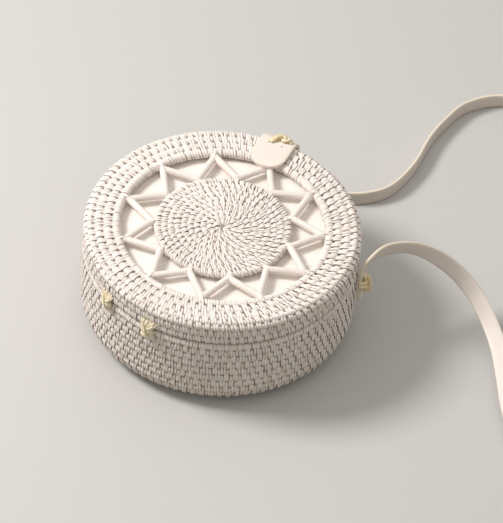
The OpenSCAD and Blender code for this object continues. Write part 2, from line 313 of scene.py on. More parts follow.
def smooth_run(points: np.ndarray, per_span: int) -> np.ndarray:
    """Draws a smooth line through points.

    Args:
        points: The points that the line goes through, of any width.
        per_span: How many steps it takes from one point to the next.

    Returns:
        The line's points.
    """
    rows = np.asarray(points, float)
    padded = np.vstack([rows[:1], rows, rows[-1:]])
    shares, line = np.arange(per_span) / per_span, []
    for i in range(len(rows) - 1):
        a, b, c, d = padded[i : i + 4]
        turn, wave = 2 * a - 5 * b + 4 * c - d, 3 * b - a - 3 * c + d
        line += [0.5 * (2 * b + (c - a) * u + turn * u**2 + wave * u**3) for u in shares]
    line.append(rows[-1])
    return np.array(line)


def unit(vectors: np.ndarray) -> np.ndarray:
    """Gives vectors a length of one."""
    return vectors / np.maximum(np.linalg.norm(vectors, axis=-1, keepdims=True), 1e-12)


def out_of_run(
    run_r: np.ndarray, run_z: np.ndarray, facing: tuple[float, float]
) -> tuple[np.ndarray, float, np.ndarray]:
    """Gives the way out of a run that is seen in section.

    Args:
        run_r: Radius of each of its points.
        run_z: Height of each of its points.
        facing: The direction that its middle faces, as radius and height.

    Returns:
        The way out at each point, 1 or -1 for the side of the run that it is on, and the distance along.
    """
    along = unit(np.column_stack([np.gradient(run_r), np.gradient(run_z)]))
    out = np.column_stack([along[:, 1], -along[:, 0]])
    sign = 1.0 if out[len(out) // 2] @ np.array(facing) > 0 else -1.0
    distance = np.concatenate([[0], np.cumsum(np.hypot(np.diff(run_r), np.diff(run_z)))])
    return out * sign, sign, distance


def carried_frames(path: np.ndarray, facing: np.ndarray) -> tuple[np.ndarray, np.ndarray]:
    """Carries a facing direction along a line without twisting it.

    Args:
        path: The line's points.
        facing: The direction that the first point's outside faces.

    Returns:
        At each point, the direction across the band and the one that it faces.
    """
    along = unit(np.gradient(path, axis=0))
    face = unit(facing - along[0] * (facing @ along[0]))
    faces = [face]
    for i in range(1, len(path)):
        face = unit(faces[-1] - along[i] * (faces[-1] @ along[i]))
        faces.append(face)
    out = np.array(faces)
    return np.cross(out, along), out


def sweep(
    path: np.ndarray, wide: np.ndarray, out: np.ndarray, section: np.ndarray, shares: np.ndarray
) -> tuple[np.ndarray, list[list[int]]]:
    """Draws a closed outline along a line.

    Args:
        path: The line's points.
        wide: The direction of the outline's first measure at each point.
        out: The direction of its second measure at each point.
        section: The outline's points, anticlockwise with the line coming at the eye.
        shares: The outline's size at each point, as a share.

    Returns:
        The points, and the faces with both ends closed.
    """
    count, sides = len(path), len(section)
    points = (
        path[:, None, :]
        + wide[:, None, :] * section[None, :, :1] * shares[:, None, None]
        + out[:, None, :] * section[None, :, 1:] * shares[:, None, None]
    )
    faces = []
    for k in range(count - 1):
        for j in range(sides):
            a, b = k * sides + j, k * sides + (j + 1) % sides
            faces.append([a, b, b + sides, a + sides])
    faces.append(list(range(sides))[::-1])
    faces.append([(count - 1) * sides + j for j in range(sides)])
    return points.reshape(-1, 3), faces


def spin_outlines(steps: int) -> None:
    """Turns all that is open in edit mode once round the bag's axis, as on a lathe, and closes it.

    Args:
        steps: How many steps the turn has.
    """
    bpy.ops.mesh.select_all(action="SELECT")
    bpy.ops.mesh.spin(steps=steps, angle=2 * math.pi, center=(0, 0, 0), axis=(0, 0, 1))
    bpy.ops.mesh.select_all(action="SELECT")
    bpy.ops.mesh.remove_doubles(threshold=MERGED_MM * MM)
    bpy.ops.mesh.normals_make_consistent(inside=False)
    bpy.ops.object.mode_set(mode="OBJECT")


def lathe(name: str, profile: list[tuple[float, float]], steps: int) -> bpy.types.Object:
    """Turns a profile round the bag's axis.

    Args:
        name: The piece's name.
        profile: Radius and height of each point of the profile, in millimetres.
        steps: How many steps the turn has.

    Returns:
        The turned shell, with its poles and its seam closed.
    """
    only()
    bpy.ops.mesh.primitive_plane_add(size=MM, location=(0, 0, 0))
    piece = bpy.context.object
    piece.name = piece.data.name = name
    bpy.ops.object.mode_set(mode="EDIT")
    bpy.ops.mesh.select_all(action="SELECT")
    bpy.ops.mesh.merge(type="CENTER")
    bpy.ops.transform.translate(value=(profile[0][0] * MM, 0, profile[0][1] * MM))
    for before, after in zip(profile, profile[1:]):
        step = ((after[0] - before[0]) * MM, 0, (after[1] - before[1]) * MM)
        bpy.ops.mesh.extrude_region_move(TRANSFORM_OT_translate={"value": step})
    spin_outlines(steps)
    bpy.ops.object.shade_smooth()
    return piece


# Finishes


@dataclass(frozen=True)
class Finish:
    """A finish with its colours and gloss.

    Attributes:
        name: The material's name.
        colour: Its main colour, as sRGB hex.
        second: The colour that it varies to.
        roughness: The shader's roughness.
    """

    name: str
    colour: str
    second: str
    roughness: float

    def start(self) -> tuple[bpy.types.Material, bpy.types.NodeTree, bpy.types.Node]:
        """Makes the material with only a shader and an output.

        Returns:
            The material, its node tree and the shader node.
        """
        material = bpy.data.materials.new(self.name)
        material.use_nodes = True
        tree = material.node_tree
        tree.nodes.clear()
        shader = add_node(tree, "BsdfPrincipled", {"Roughness": self.roughness})
        add_node(tree, "OutputMaterial", {"Surface": shader})
        return material, tree, shader

    def varied(self, tree: bpy.types.NodeTree, share: bpy.types.Node) -> bpy.types.NodeSocket:
        """Gives the colour that goes from the main one to the second as the share goes from 0 to 1."""
        colours = {0: share, 6: linear(self.colour), 7: linear(self.second)}
        return add_node(tree, "Mix", colours, data_type="RGBA").outputs[2]


@dataclass(frozen=True)
class PaintedCane(Finish):
    """Split cane wrapped wet round a coil and painted: fibres show through chalky paint.

    Attributes:
        hollow: The colour of the painted shade down in the holes and grooves of the weave.
        fibre_mm: Width of the fibres that show as streaks along each strand.
        streak_share: How fast the fibres change along a strand, as a share of how fast across it.
        patch_scale: Scale of the patches, about 30 mm wide, where hands rub the paint dull.
    """

    hollow: str = "#A19388"
    fibre_mm: float = 0.35
    streak_share: float = 0.12
    patch_scale: float = 34.0

    def make(self) -> bpy.types.Material:
        """Makes the material.

        Returns:
            The painted-cane material, which reads the strands' own measures.
        """
        material, tree, shader = self.start()
        # Each strand's own measures in mm: x across it, y along it, z another number for each strand
        strand = add_node(tree, "Attribute", attribute_name="strand").outputs["Vector"]
        scales = (1 / self.fibre_mm, self.streak_share / self.fibre_mm, 7.0)
        stretch = add_node(tree, "VectorMath", {0: strand, 1: scales}, operation="MULTIPLY")
        fibre = add_node(tree, "TexNoise", {"Vector": stretch, "Scale": 1.0, "Detail": 3.0})
        place = add_node(tree, "TexCoord").outputs["Object"]
        patches = add_node(tree, "TexNoise", {"Vector": place, "Scale": self.patch_scale, "Detail": 2.0})
        tint = add_node(tree, "Attribute", attribute_name="tint").outputs["Fac"]
        shade = add_node(tree, "Math", {0: tint, 1: 0.55, 2: fibre}, operation="MULTIPLY_ADD")
        worn = add_node(tree, "Math", {0: patches, 1: 0.5, 2: shade}, operation="MULTIPLY_ADD")
        cane = self.varied(tree, add_node(tree, "MapRange", {0: worn, 1: 0.55, 2: 1.55}))
        # Painted shade: the cane turns to the hollow colour as far as the hollow value says, down in the
        # weave's holes and grooves
        depth = add_node(tree, "Attribute", attribute_name="hollow").outputs["Fac"]
        dark = add_node(tree, "Mix", {0: depth, 6: cane, 7: linear(self.hollow)}, data_type="RGBA")
        bump = add_node(tree, "Bump", {"Strength": 0.35, "Distance": 0.12 * MM, "Height": fibre})
        set_inputs(shader, {"Base Color": dark.outputs[2], "Normal": bump})
        return material


@dataclass(frozen=True)
class LiningCloth(Finish):
    """Plain-woven cotton glued over board: a fine even grid of threads.

    Attributes:
        thread_mm: Width of a thread and of the gap beside it, drawn at twice the real 0.4 mm to show.
        band_scale: Width of two bands of Blender's wave pattern at a scale of one, in metres.
        cloud_scale: Scale of the faint clouds in the cloth, about 18 mm wide.
    """

    thread_mm: float = 0.8
    band_scale: float = 0.314
    cloud_scale: float = 55.0

    def make(self) -> bpy.types.Material:
        """Makes the material.

        Returns:
            The lining's material.
        """
        material, tree, shader = self.start()
        place = add_node(tree, "TexCoord").outputs["Object"]
        threads = {"Vector": place, "Scale": self.band_scale / (self.thread_mm * MM) / 2, "Distortion": 0.6}
        over, under = (
            add_node(tree, "TexWave", threads, wave_type="BANDS", bands_direction=way).outputs["Fac"]
            for way in "XY"
        )
        weave = add_node(tree, "Math", {0: over, 1: under}, operation="MAXIMUM")
        cloud = add_node(tree, "TexNoise", {"Vector": place, "Scale": self.cloud_scale, "Detail": 4.0})
        both = add_node(tree, "Math", {0: weave, 1: 0.3, 2: cloud}, operation="MULTIPLY_ADD")
        share = add_node(tree, "MapRange", {0: both, 1: 0.4, 2: 1.1})
        # The other way round than varied has it: the higher threads take the main colour
        colours = {0: share, 6: linear(self.second), 7: linear(self.colour)}
        colour = add_node(tree, "Mix", colours, data_type="RGBA").outputs[2]
        bump = add_node(tree, "Bump", {"Strength": 0.3, "Distance": 0.1 * MM, "Height": weave})
        set_inputs(shader, {"Base Color": colour, "Sheen Weight": 0.15, "Normal": bump})
        return material


@dataclass(frozen=True)
class Leather(Finish):
    """Smooth vegetable-tanned leather, cut with raw edges that are a little darker.

    Attributes:
        edge: The colour of the cut edge.
        grain_mm: Size of the pores, drawn at twice the real 0.4 mm so that they show.
        cloud_scale: Scale of the skin's clouds, about 24 mm wide.
    """

    edge: str = "#E9DDC8"
    grain_mm: float = 0.8
    cloud_scale: float = 42.0

    def make(self) -> bpy.types.Material:
        """Makes the material.

        Returns:
            The leather, which reads the piece's own edge value.
        """
        material, tree, shader = self.start()
        place = add_node(tree, "TexCoord").outputs["Object"]
        size = {"Vector": place, "Scale": 1 / (self.grain_mm * MM)}
        pores = add_node(tree, "TexVoronoi", size, feature="SMOOTH_F1").outputs["Distance"]
        cloud = add_node(tree, "TexNoise", {"Vector": place, "Scale": self.cloud_scale, "Detail": 5.0})
        skin = self.varied(tree, add_node(tree, "MapRange", {0: cloud, 1: 0.3, 2: 0.7}))
        edge = add_node(tree, "Attribute", attribute_name="edge").outputs["Fac"]
        colour = add_node(tree, "Mix", {0: edge, 6: skin, 7: linear(self.edge)}, data_type="RGBA")
        gloss = add_node(tree, "MapRange", {0: cloud, 3: self.roughness - 0.08, 4: self.roughness + 0.12})
        bump = add_node(tree, "Bump", {"Strength": 0.25, "Distance": 0.08 * MM, "Height": pores})
        set_inputs(shader, {"Base Color": colour.outputs[2], "Roughness": gloss, "Normal": bump})
        return material


@dataclass(frozen=True)
class WaxedLace(Finish):
    """Thin leather lace, waxed and left natural: yellow, browner in its creases.

    Attributes:
        crease_scale: Scale of the creases, about 4 mm long.
    """

    crease_scale: float = 260.0

    def make(self) -> bpy.types.Material:
        """Makes the material.

        Returns:
            The lace's material.
        """
        material, tree, shader = self.start()
        place = add_node(tree, "TexCoord").outputs["Object"]
        crease = add_node(tree, "TexNoise", {"Vector": place, "Scale": self.crease_scale, "Detail": 4.0})
        edge = add_node(tree, "Attribute", attribute_name="edge").outputs["Fac"]
        shade = add_node(tree, "Math", {0: edge, 1: 0.5, 2: crease}, operation="MULTIPLY_ADD")
        colour = self.varied(tree, add_node(tree, "MapRange", {0: shade, 1: 0.35, 2: 1.0}))
        bump = add_node(tree, "Bump", {"Strength": 0.3, "Distance": 0.1 * MM, "Height": crease})
        set_inputs(shader, {"Base Color": colour, "Normal": bump})
        return material


@dataclass(frozen=True)
class PlatedSteel(Finish):
    """Steel disc, stamped and nickel-plated: a fine scatter of rub marks.

    Attributes:
        rub_scale: Scale of the rub marks, about 1 mm long.
    """

    rub_scale: float = 900.0

    def make(self) -> bpy.types.Material:
        """Makes the material.

        Returns:
            The metal.
        """
        material, tree, shader = self.start()
        place = add_node(tree, "TexCoord").outputs["Object"]
        rubs = add_node(tree, "TexNoise", {"Vector": place, "Scale": self.rub_scale, "Detail": 3.0})
        gloss = add_node(tree, "MapRange", {0: rubs, 3: 0.2, 4: 0.45})
        set_inputs(shader, {"Metallic": 1.0, "Base Color": self.varied(tree, rubs), "Roughness": gloss})
        return material


# The bag's sizes


@dataclass(frozen=True)
class BagSizes:
    """The bag's own sizes in millimetres, as its parts are built to.

    Attributes:
        wall_r: Radius of the side wall.
        bag_h: Height of the closed bag.
        seam_z: Height of the seam between body and lid.
        rim_round: Radius of the lid's rim.
        foot_round: Radius of the foot.
        opening_share: Radius of the opening in the lid's face, as a share of the wall's.
        medallion_share: Radius of the medallion, as a share of the opening's.
        seam_gap: Running gap in the seam.
        lid_rows: Coils in the lid.
        wall_rows: Coils in the wall.
        back_rows: Coils in the back.
        medallion_rows: Coils in the medallion.
        button_rows: Coils that the middle of a round piece stands for, counted in its radius.
        stick_z: Height of the sticks' middle.
        leather_t: Thickness of all the leather.
        strap_w: Width of the shoulder strap.
    """

    wall_r: float = 91.5
    bag_h: float = 78.0
    seam_z: float = 59.0
    rim_round: float = 5.5
    foot_round: float = 18.0
    opening_share: float = 0.732
    medallion_share: float = 0.672
    seam_gap: float = 0.3
    lid_rows: int = 7
    wall_rows: int = 12
    back_rows: int = 12
    medallion_rows: int = 9
    button_rows: float = 1.5
    stick_z: float = 75.14
    leather_t: float = 2.2
    strap_w: float = 11.0

    @property
    def opening_r(self) -> float:
        """Radius of the opening in the lid's face."""
        return self.wall_r * self.opening_share

    @property
    def medallion_r(self) -> float:
        """Radius of the medallion."""
        return self.opening_r * self.medallion_share

    @property
    def medallion_pitch(self) -> float:
        """Distance between the medallion's coils."""
        return self.medallion_r / (self.medallion_rows + self.button_rows)


BAG = BagSizes()


class CoilLine:
    """The outer line of a coiled piece, seen in section, and how far apart its coils are."""

    pitch: float = 5.0

    def at(self, s: np.ndarray) -> tuple[np.ndarray, np.ndarray, np.ndarray]:
        """Gives the line's radius, height and facing angle at distances along it."""
        raise NotImplementedError


class LidLine(CoilLine):
    """From the opening's edge over the rim and down to the seam."""

    def __init__(self, bag: BagSizes) -> None:
        """Works out the line's straight and round lengths."""
        self.bag = bag
        self.flat = bag.wall_r - bag.rim_round - bag.opening_r
        self.bend = bag.rim_round * math.pi / 2
        skirt = bag.bag_h - bag.seam_z - bag.rim_round - bag.seam_gap / 2
        self.pitch = (self.flat + self.bend + skirt) / bag.lid_rows

    def at(self, s: np.ndarray) -> tuple[np.ndarray, np.ndarray, np.ndarray]:
        """Gives the line's radius, height and facing angle at distances along it."""
        bag = self.bag
        a = np.pi / 2 * (1 - np.clip((s - self.flat) / self.bend, 0, 1))
        r = bag.wall_r - bag.rim_round + bag.rim_round * np.cos(a) - np.maximum(self.flat - s, 0)
        z = bag.bag_h - bag.rim_round + bag.rim_round * np.sin(a) - np.maximum(s - self.flat - self.bend, 0)
        return r, z, a


class BodyLine(CoilLine):
    """From the seam down the wall and round the foot."""

    def __init__(self, bag: BagSizes) -> None:
        """Works out the line's straight and round lengths."""
        self.bag = bag
        self.bend = bag.foot_round * math.pi / 2
        self.straight = bag.seam_z - bag.seam_gap / 2 - bag.foot_round
        self.pitch = (self.straight + self.bend) / bag.wall_rows

    def at(self, s: np.ndarray) -> tuple[np.ndarray, np.ndarray, np.ndarray]:
        """Gives the line's radius, height and facing angle at distances along it."""
        bag = self.bag
        a = -np.pi / 2 * np.clip((s - self.straight) / self.bend, 0, 1)
        r = bag.wall_r - bag.foot_round + bag.foot_round * np.cos(a)
        z = bag.foot_round + bag.foot_round * np.sin(a) + np.maximum(self.straight - s, 0)
        return r, z, a


@dataclass
class FlatLine(CoilLine):
    """A level face, measured out from the axis.

    Attributes:
        z: The face's height.
        pitch: Distance between its coils.
        up: Whether it faces up.
    """

    z: float = 0.0
    pitch: float = 5.0
    up: bool = True

    def at(self, s: np.ndarray) -> tuple[np.ndarray, np.ndarray, np.ndarray]:
        """Gives the line's radius, height and facing angle at distances along it."""
        s = np.asarray(s, float)
        return s, np.full_like(s, self.z), np.full_like(s, np.pi / 2 if self.up else -np.pi / 2)


# Coiling and stitching

RING_SIDES = 10  # Corners of a coil's outline
SEAM_BACK = 0.3  # How far the coils at the seam stay back from it
SEAM_SHADE = 0.9  # How dark the painted shade is in the depth of the seam
ROLL_WRAP_MM = 1.95  # Width of the wraps on a coil that no long stitches join
STRAND_EDGE_SHARE = 0.4  # Distance from a strand's middle past which its points are its low edge, painted a little darker as shade
BUTTON_SHARE = 0.42  # Radius of the coil in the middle of a round piece, as a share of the pitch

# Where a strand's points lie: in degrees from the top of a coil whose edge is free, and else as shares of
# half the distance between two coils, with the depth of those that bridge as shares of the usual dip
FREE_EDGE_DEGREES = (152, 112, 72, 36)
SIDE_SHARES = (-1.02, -0.86, -0.5)
BRIDGE_SHARES = (0.45, 0.78, 1.02, 1.22, 1.45, 1.7)
BRIDGE_DIP_SHARES = (0.05, 0.2, 0.33, 0.31, 0.42, 0.8)
# How dark the painted shade is at a free edge's last four points, deepest first, as shares of the coil's
# shade
FREE_EDGE_SHADE_SHARES = (1, 0.8, 0.35, 0.1)


@dataclass(frozen=True)
class CoilRow:
    """One coil of a coiled piece.

    Attributes:
        s: Distance of its middle along the outer line.
        stitched: Whether long stitches join it to the coil before it.
        free_before: Whether the side before it is a free edge.
        free_after: Whether the side after it is a free edge.
        gap: How far a free edge stays back from the line's end.
        shade: How dark the painted shade is in the depth of a free edge.
    """

    s: float
    stitched: bool = True
    free_before: bool = False
    free_after: bool = False
    gap: float = 0.0
    shade: float = 0.0


@dataclass(frozen=True)
class StitchRepeat:
    """The strands that repeat along a coil.

    Attributes:
        long_mm: Width of each of the two strands that bridge to the next coil.
        short_mm: Width of the wrap between them, beside the hole.
        lean: How far a strand leans to the left for each millimetre that it goes outwards.
        swirl: How far the repeat shifts from coil to coil, as a share of it.
        sink: How far the short wraps lie below the long ones.
        painted_shade: How dark the short wraps are painted, as shade down where they sink.
        stray: How unevenly it is sewn: how far a coil's repeat strays, as a share of it.
    """

    long_mm: float
    short_mm: float
    lean: float = 0.05
    swirl: float = 0.5
    sink: float = 0.42
    painted_shade: float = 0.0
    stray: float = 0.08


class StrandPattern:
    """A flat crowned strand that is modelled once for each length and copied along the coils."""

    def __init__(self) -> None:
        """Starts with no strand modelled."""
        self.made: dict[int, tuple[np.ndarray, np.ndarray, np.ndarray, np.ndarray]] = {}

    def shape(self, steps: int) -> tuple[np.ndarray, np.ndarray, np.ndarray, np.ndarray]:
        """Gives a strand of so many steps.

        Args:
            steps: How many faces it has along its length.

        Returns:
            Each point's place across, its step number, its crown share, and the faces.
        """
        if steps not in self.made:
            self.made[steps] = self.model(steps)
        return self.made[steps]

    def model(self, steps: int) -> tuple[np.ndarray, np.ndarray, np.ndarray, np.ndarray]:
        """Models the strand flat, one unit wide and long, and raises its middle.

        Args:
            steps: How many faces it has along its length.

        Returns:
            What shape gives.
        """
        only()
        bpy.ops.mesh.primitive_grid_add(x_subdivisions=3, y_subdivisions=steps, size=1.0, location=(0, 0, 0))
        flat = bpy.context.object
        for part in (*flat.data.edges, *flat.data.polygons):
            part.select = False
        for vertex in flat.data.vertices:
            vertex.select = abs(vertex.co.x) < STRAND_EDGE_SHARE
        bpy.ops.object.mode_set(mode="EDIT")
        bpy.ops.mesh.select_mode(type="VERT")
        bpy.ops.transform.translate(value=(0, 0, 1))
        bpy.ops.object.mode_set(mode="OBJECT")
        points, faces = take_mesh(flat)
        across, along, crown = (points * MM).T
        levels = np.unique(np.round(along, 5))
        return across, np.searchsorted(levels, np.round(along, 5)), crown, np.array(faces)


STRAND = StrandPattern()


@dataclass
class CoiledPiece:
    """A coiled and sewn piece: coils painted dark as the shade down the holes, with flat strands wrapped and
    stitched over them.

    Attributes:
        name: The piece's name.
        line: Its outer line.
        rows: Its coils.
        repeat: The strands that repeat along a coil.
        seed: Where its small irregularities start.
        deep: How far the strands dip between two coils.
        lift: Depth of the strands' edges below the outer line.
        crown: How far a strand's middle stands above its edges.
        reach: How far long strands reach on to the coil before, as a share of the usual.
        shade_strength: How strongly the painted shade in the holes shows.
        extra_rings: Distances of further coils with no strands of their own.
        core_share: How far a coil reaches inwards, as a share of half the distance between two.
        core_depth: How far a coil's outside lies below the outer line.
    """

    name: str
    line: CoilLine
    rows: list[CoilRow]
    repeat: StitchRepeat
    seed: int
    deep: float = 2.0
    lift: float = 0.62
    crown: float = 0.4
    reach: float = 1.0
    shade_strength: float = 1.0
    extra_rings: tuple[float, ...] = ()
    core_share: float = 0.78
    core_depth: float = 1.15

    def side(self, shares: np.ndarray) -> np.ndarray:
        """Gives the run of a strand that goes down beside its own coil, as distances and depths."""
        return np.column_stack([shares * self.line.pitch / 2, self.deep * np.abs(shares) ** 3])

    def local_path(self, row: CoilRow, bridging: bool) -> tuple[np.ndarray, np.ndarray]:
        """Gives a strand's run over its coil.

        Args:
            row: The coil that it wraps.
            bridging: Whether it goes on to the coil before.

        Returns:
            The distance towards the coil before, and the depth, of each of its points.
        """
        round_r = self.line.pitch / 2 - 0.15 - row.gap
        arc, side = np.radians(FREE_EDGE_DEGREES), np.array(SIDE_SHARES)
        free = np.column_stack([round_r * np.sin(arc), round_r * (1 - np.cos(arc))])
        start = free * (-1, 1) if row.free_after else self.side(side)
        if row.free_before:
            end = free[::-1]
        elif bridging:
            u = np.array(BRIDGE_SHARES)
            u = np.where(u > 1, 1 + (u - 1) * self.reach, u)
            end = np.column_stack([u * self.line.pitch / 2, np.array(BRIDGE_DIP_SHARES) * self.deep])
        else:
            end = self.side(-side[::-1])
        run = np.vstack([start, [[0, 0]], end])
        return run[:, 0], run[:, 1] + self.lift

    def strands(self, gathered: Gathered, row: CoilRow, index: int, dice: np.random.Generator) -> None:
        """Adds a coil's strands.

        Args:
            gathered: The piece so far.
            row: The coil.
            index: The coil's number, which shifts the repeat.
            dice: The source of small irregularities.
        """
        r_row = float(self.line.at(np.array([row.s]))[0][0])
        girth = 2 * math.pi * r_row
        repeat = self.repeat
        kinds = [(True, repeat.long_mm), (True, repeat.long_mm), (False, repeat.short_mm)]
        if not row.stitched:
            kinds = [(False, ROLL_WRAP_MM)]
        total = sum(width for _, width in kinds)
        count = max(round(girth / total), 3)
        share = girth / (count * total)
        offset, late = 0.0, dice.normal(0, repeat.stray)
        for bridging, width in kinds:
            middle = (offset + width / 2) / total
            offset += width
            turn = 2 * math.pi * (np.arange(count) + middle + index * repeat.swirl + late) / count
            self.copy_strands(gathered, row, bridging, turn, width * share, r_row, dice)

    def painted_shade_along(self, row: CoilRow, bridging: bool, depth: np.ndarray) -> np.ndarray:
        """Gives how dark the painted shade is along a strand: darker where it lies deep.

        Args:
            row: The coil.
            bridging: Whether the strand goes on to the coil before.
            depth: How far each of its points lies below its highest.

        Returns:
            A share from 0 to 1 for each point.
        """
        # Painted shade: the deeper a point lies below the strand's highest, the darker it is painted
        painted_shade = ease(depth, 0.75, 1.9) if bridging else ease(depth, 0.3, 1.25)
        # The depth of a free edge, down at the seam, is painted dark as shade
        free = row.shade * np.array(FREE_EDGE_SHADE_SHARES)
        if row.free_after:
            painted_shade[: len(free)] = free
        if row.free_before:
            painted_shade[-len(free) :] = free[::-1]
        return painted_shade

    def copy_strands(
        self,
        gathered: Gathered,
        row: CoilRow,
        bridging: bool,
        turn: np.ndarray,
        width: float,
        r_row: float,
        dice: np.random.Generator,
    ) -> None:
        """Copies the modelled strand to each place along a coil, each a little different.

        Args:
            gathered: The piece so far.
            row: The coil.
            bridging: Whether these strands go on to the coil before.
            turn: The direction of each strand from the axis.
            width: The strands' width.
            r_row: The coil's radius.
            dice: The source of small irregularities.
        """
        toward, depth = self.local_path(row, bridging and not row.free_before)
        sink = 0.0 if bridging or not row.stitched else self.repeat.sink
        depth = depth + sink
        r, z, a = self.line.at(row.s - toward)
        run_r, run_z = r - depth * np.cos(a), z - depth * np.sin(a)
        middle, last = len(run_r) // 2, len(run_r) - 1
        out, sign, run_mm = out_of_run(run_r, run_z, (np.cos(a[middle]), np.sin(a[middle])))
        across, step, crown, faces = STRAND.shape(last)
        # Sewn by hand: no two strands have the same place, width, lean or height
        n, m = len(turn), len(across)
        shift = dice.normal(0, 0.085 * width, n)
        wide = width * (1 + dice.normal(0, 0.09, n))
        lean = -run_mm[-1] * (self.repeat.lean + dice.normal(0, 0.44 * self.repeat.stray, n))
        high = self.crown * (1 + dice.normal(0, 0.2, n))
        sunk = dice.normal(0, 0.08, n)
        sizes = [0.86, 1, 1, 0.72 if bridging else 0.86]
        taper = np.interp(np.arange(last + 1), [0, 2, last - 3, last], sizes)
        bow = (run_mm[step] / run_mm[-1] - 0.5)[None, :]
        side_mm = across[None, :] * wide[:, None] * taper[step][None, :]
        side_mm = side_mm + shift[:, None] + lean[:, None] * bow
        angle = turn[:, None] + side_mm / r_row
        lift = crown[None, :] * high[:, None] - sunk[:, None]
        radius = np.maximum(run_r[step][None, :] + out[step, 0][None, :] * lift, 0.15)
        height = run_z[step][None, :] + out[step, 1][None, :] * lift
        points = np.stack([radius * np.cos(angle), radius * np.sin(angle), height], axis=-1).reshape(-1, 3)
        quads = (faces if sign > 0 else faces[:, ::-1])[None] + (np.arange(n) * m)[:, None, None]
        # The hollow value is painted shade: a little on the strand's low edges, more on the sunk short wraps
        # and where it dips deep
        rim = 0.08 * (np.abs(across) > STRAND_EDGE_SHARE)[None, :] + (self.repeat.painted_shade if sink else 0.0)
        painted_shade = self.painted_shade_along(row, bridging, depth - self.lift - sink)
        hollow = np.clip((np.broadcast_to(painted_shade[step], (n, m)) + rim) * self.shade_strength, 0, 1)
        tint = np.broadcast_to(dice.random(n)[:, None], (n, m))
        own = (across[None, :] * width, run_mm[step][None, :], dice.random(n)[:, None] * 50)
        strand = np.stack([np.broadcast_to(measure, (n, m)) for measure in own], axis=-1)
        values = {"tint": tint.ravel(), "hollow": hollow.ravel()}
        gathered.add(points, quads.reshape(-1, 4), values, {"strand": strand.reshape(-1, 3)})

    def coils(self, gathered: Gathered) -> None:
        """Adds the coils themselves, spun round the axis from their outlines.

        Args:
            gathered: The piece so far.
        """
        half = self.line.pitch / 2
        thick = half * self.core_share
        low = self.core_depth + thick
        only()
        outlines, centres = [], []
        for s in [row.s for row in self.rows] + list(self.extra_rings):
            r, z, a = (float(v[0]) for v in self.line.at(np.array([s])))
            x, y = r - low * math.cos(a), z - low * math.sin(a)
            centres.append((x, y, math.cos(a), math.sin(a)))
            place, turned = (x * MM, 0, y * MM), (math.pi / 2, -a, 0)
            bpy.ops.mesh.primitive_circle_add(vertices=RING_SIDES, radius=MM, location=place, rotation=turned)
            outlines.append(bpy.context.object)
            outlines[-1].scale = (thick, half, 1)
        for outline in outlines:
            outline.select_set(True)
        bpy.ops.object.transform_apply(location=True, rotation=True, scale=True)
        if len(outlines) > 1:
            bpy.ops.object.join()
        bpy.ops.object.mode_set(mode="EDIT")
        spin_outlines(ROUND_STEPS)
        points, faces = take_mesh(bpy.context.object)
        flat = np.column_stack([np.hypot(points[:, 0], points[:, 1]), points[:, 2]])
        table = np.array(centres)
        nearest = np.argmin(np.linalg.norm(flat[:, None, :] - table[None, :, :2], axis=2), axis=1)
        above = np.sum((flat - table[nearest, :2]) * table[nearest, 2:], axis=1) / thick
        turn = np.arctan2(points[:, 1], points[:, 0])
        own = np.column_stack([above * 2, turn * flat[:, 0], nearest * 3.0])
        # The coils show only down the holes: their outer side takes the hollow colour, as painted shade
        gathered.add(points, faces, {"tint": 0.5, "hollow": ease(above, -0.6, 0.1)}, {"strand": own})

    def build(self) -> bpy.types.Object:
        """Makes the whole piece.

        Returns:
            The piece, with no finish yet.
        """
        dice = np.random.default_rng(self.seed)
        gathered = Gathered()
        self.coils(gathered)
        for index, row in enumerate(self.rows):
            self.strands(gathered, row, index, dice)
        return gathered.make(self.name)


# The bag's parts


@dataclass
class Basket:
    """The deep body of the bag: coiled wall and coiled back.

    Attributes:
        bag: The bag's sizes.
        cane: The cane's material.
        wall_repeat: The strands of the wall and the back.
        back_z: Height of the back's outer line, which its strands come down from.
    """

    bag: BagSizes
    cane: bpy.types.Material
    wall_repeat: StitchRepeat = StitchRepeat(1.65, 2.5, 0.04, 0.5, 0.5)
    back_z: float = 0.55

    def wall(self) -> None:
        """Makes the wall, from the seam round the foot."""
        line = BodyLine(self.bag)
        top = CoilRow(0.5 * line.pitch, stitched=False, free_before=True, gap=SEAM_BACK, shade=SEAM_SHADE)
        rows = [top] + [CoilRow((i + 0.5) * line.pitch) for i in range(1, self.bag.wall_rows)]
        coiled = CoiledPiece("woven_wall", line, rows, self.wall_repeat, seed=11)
        finish_piece(coiled.build(), Body.BASKET, Slot.CANE, self.cane, "body_wall")

    def back(self) -> None:
        """Makes the flat back, which the bag lies on."""
        foot_in = self.bag.wall_r - self.bag.foot_round
        pitch = (foot_in - 0.5) / (self.bag.back_rows + self.bag.button_rows)
        line = FlatLine(self.back_z, pitch, False)
        rows = [CoilRow((i + 1) * pitch) for i in range(self.bag.back_rows + 1)]
        rings = (BUTTON_SHARE * pitch,)
        coiled = CoiledPiece(
            "woven_back", line, rows, self.wall_repeat, seed=12, deep=1.4, extra_rings=rings
        )
        finish_piece(coiled.build(), Body.BASKET, Slot.CANE, self.cane, "body_back")

    def build(self) -> None:
        """Makes both pieces."""
        self.wall()
        self.back()


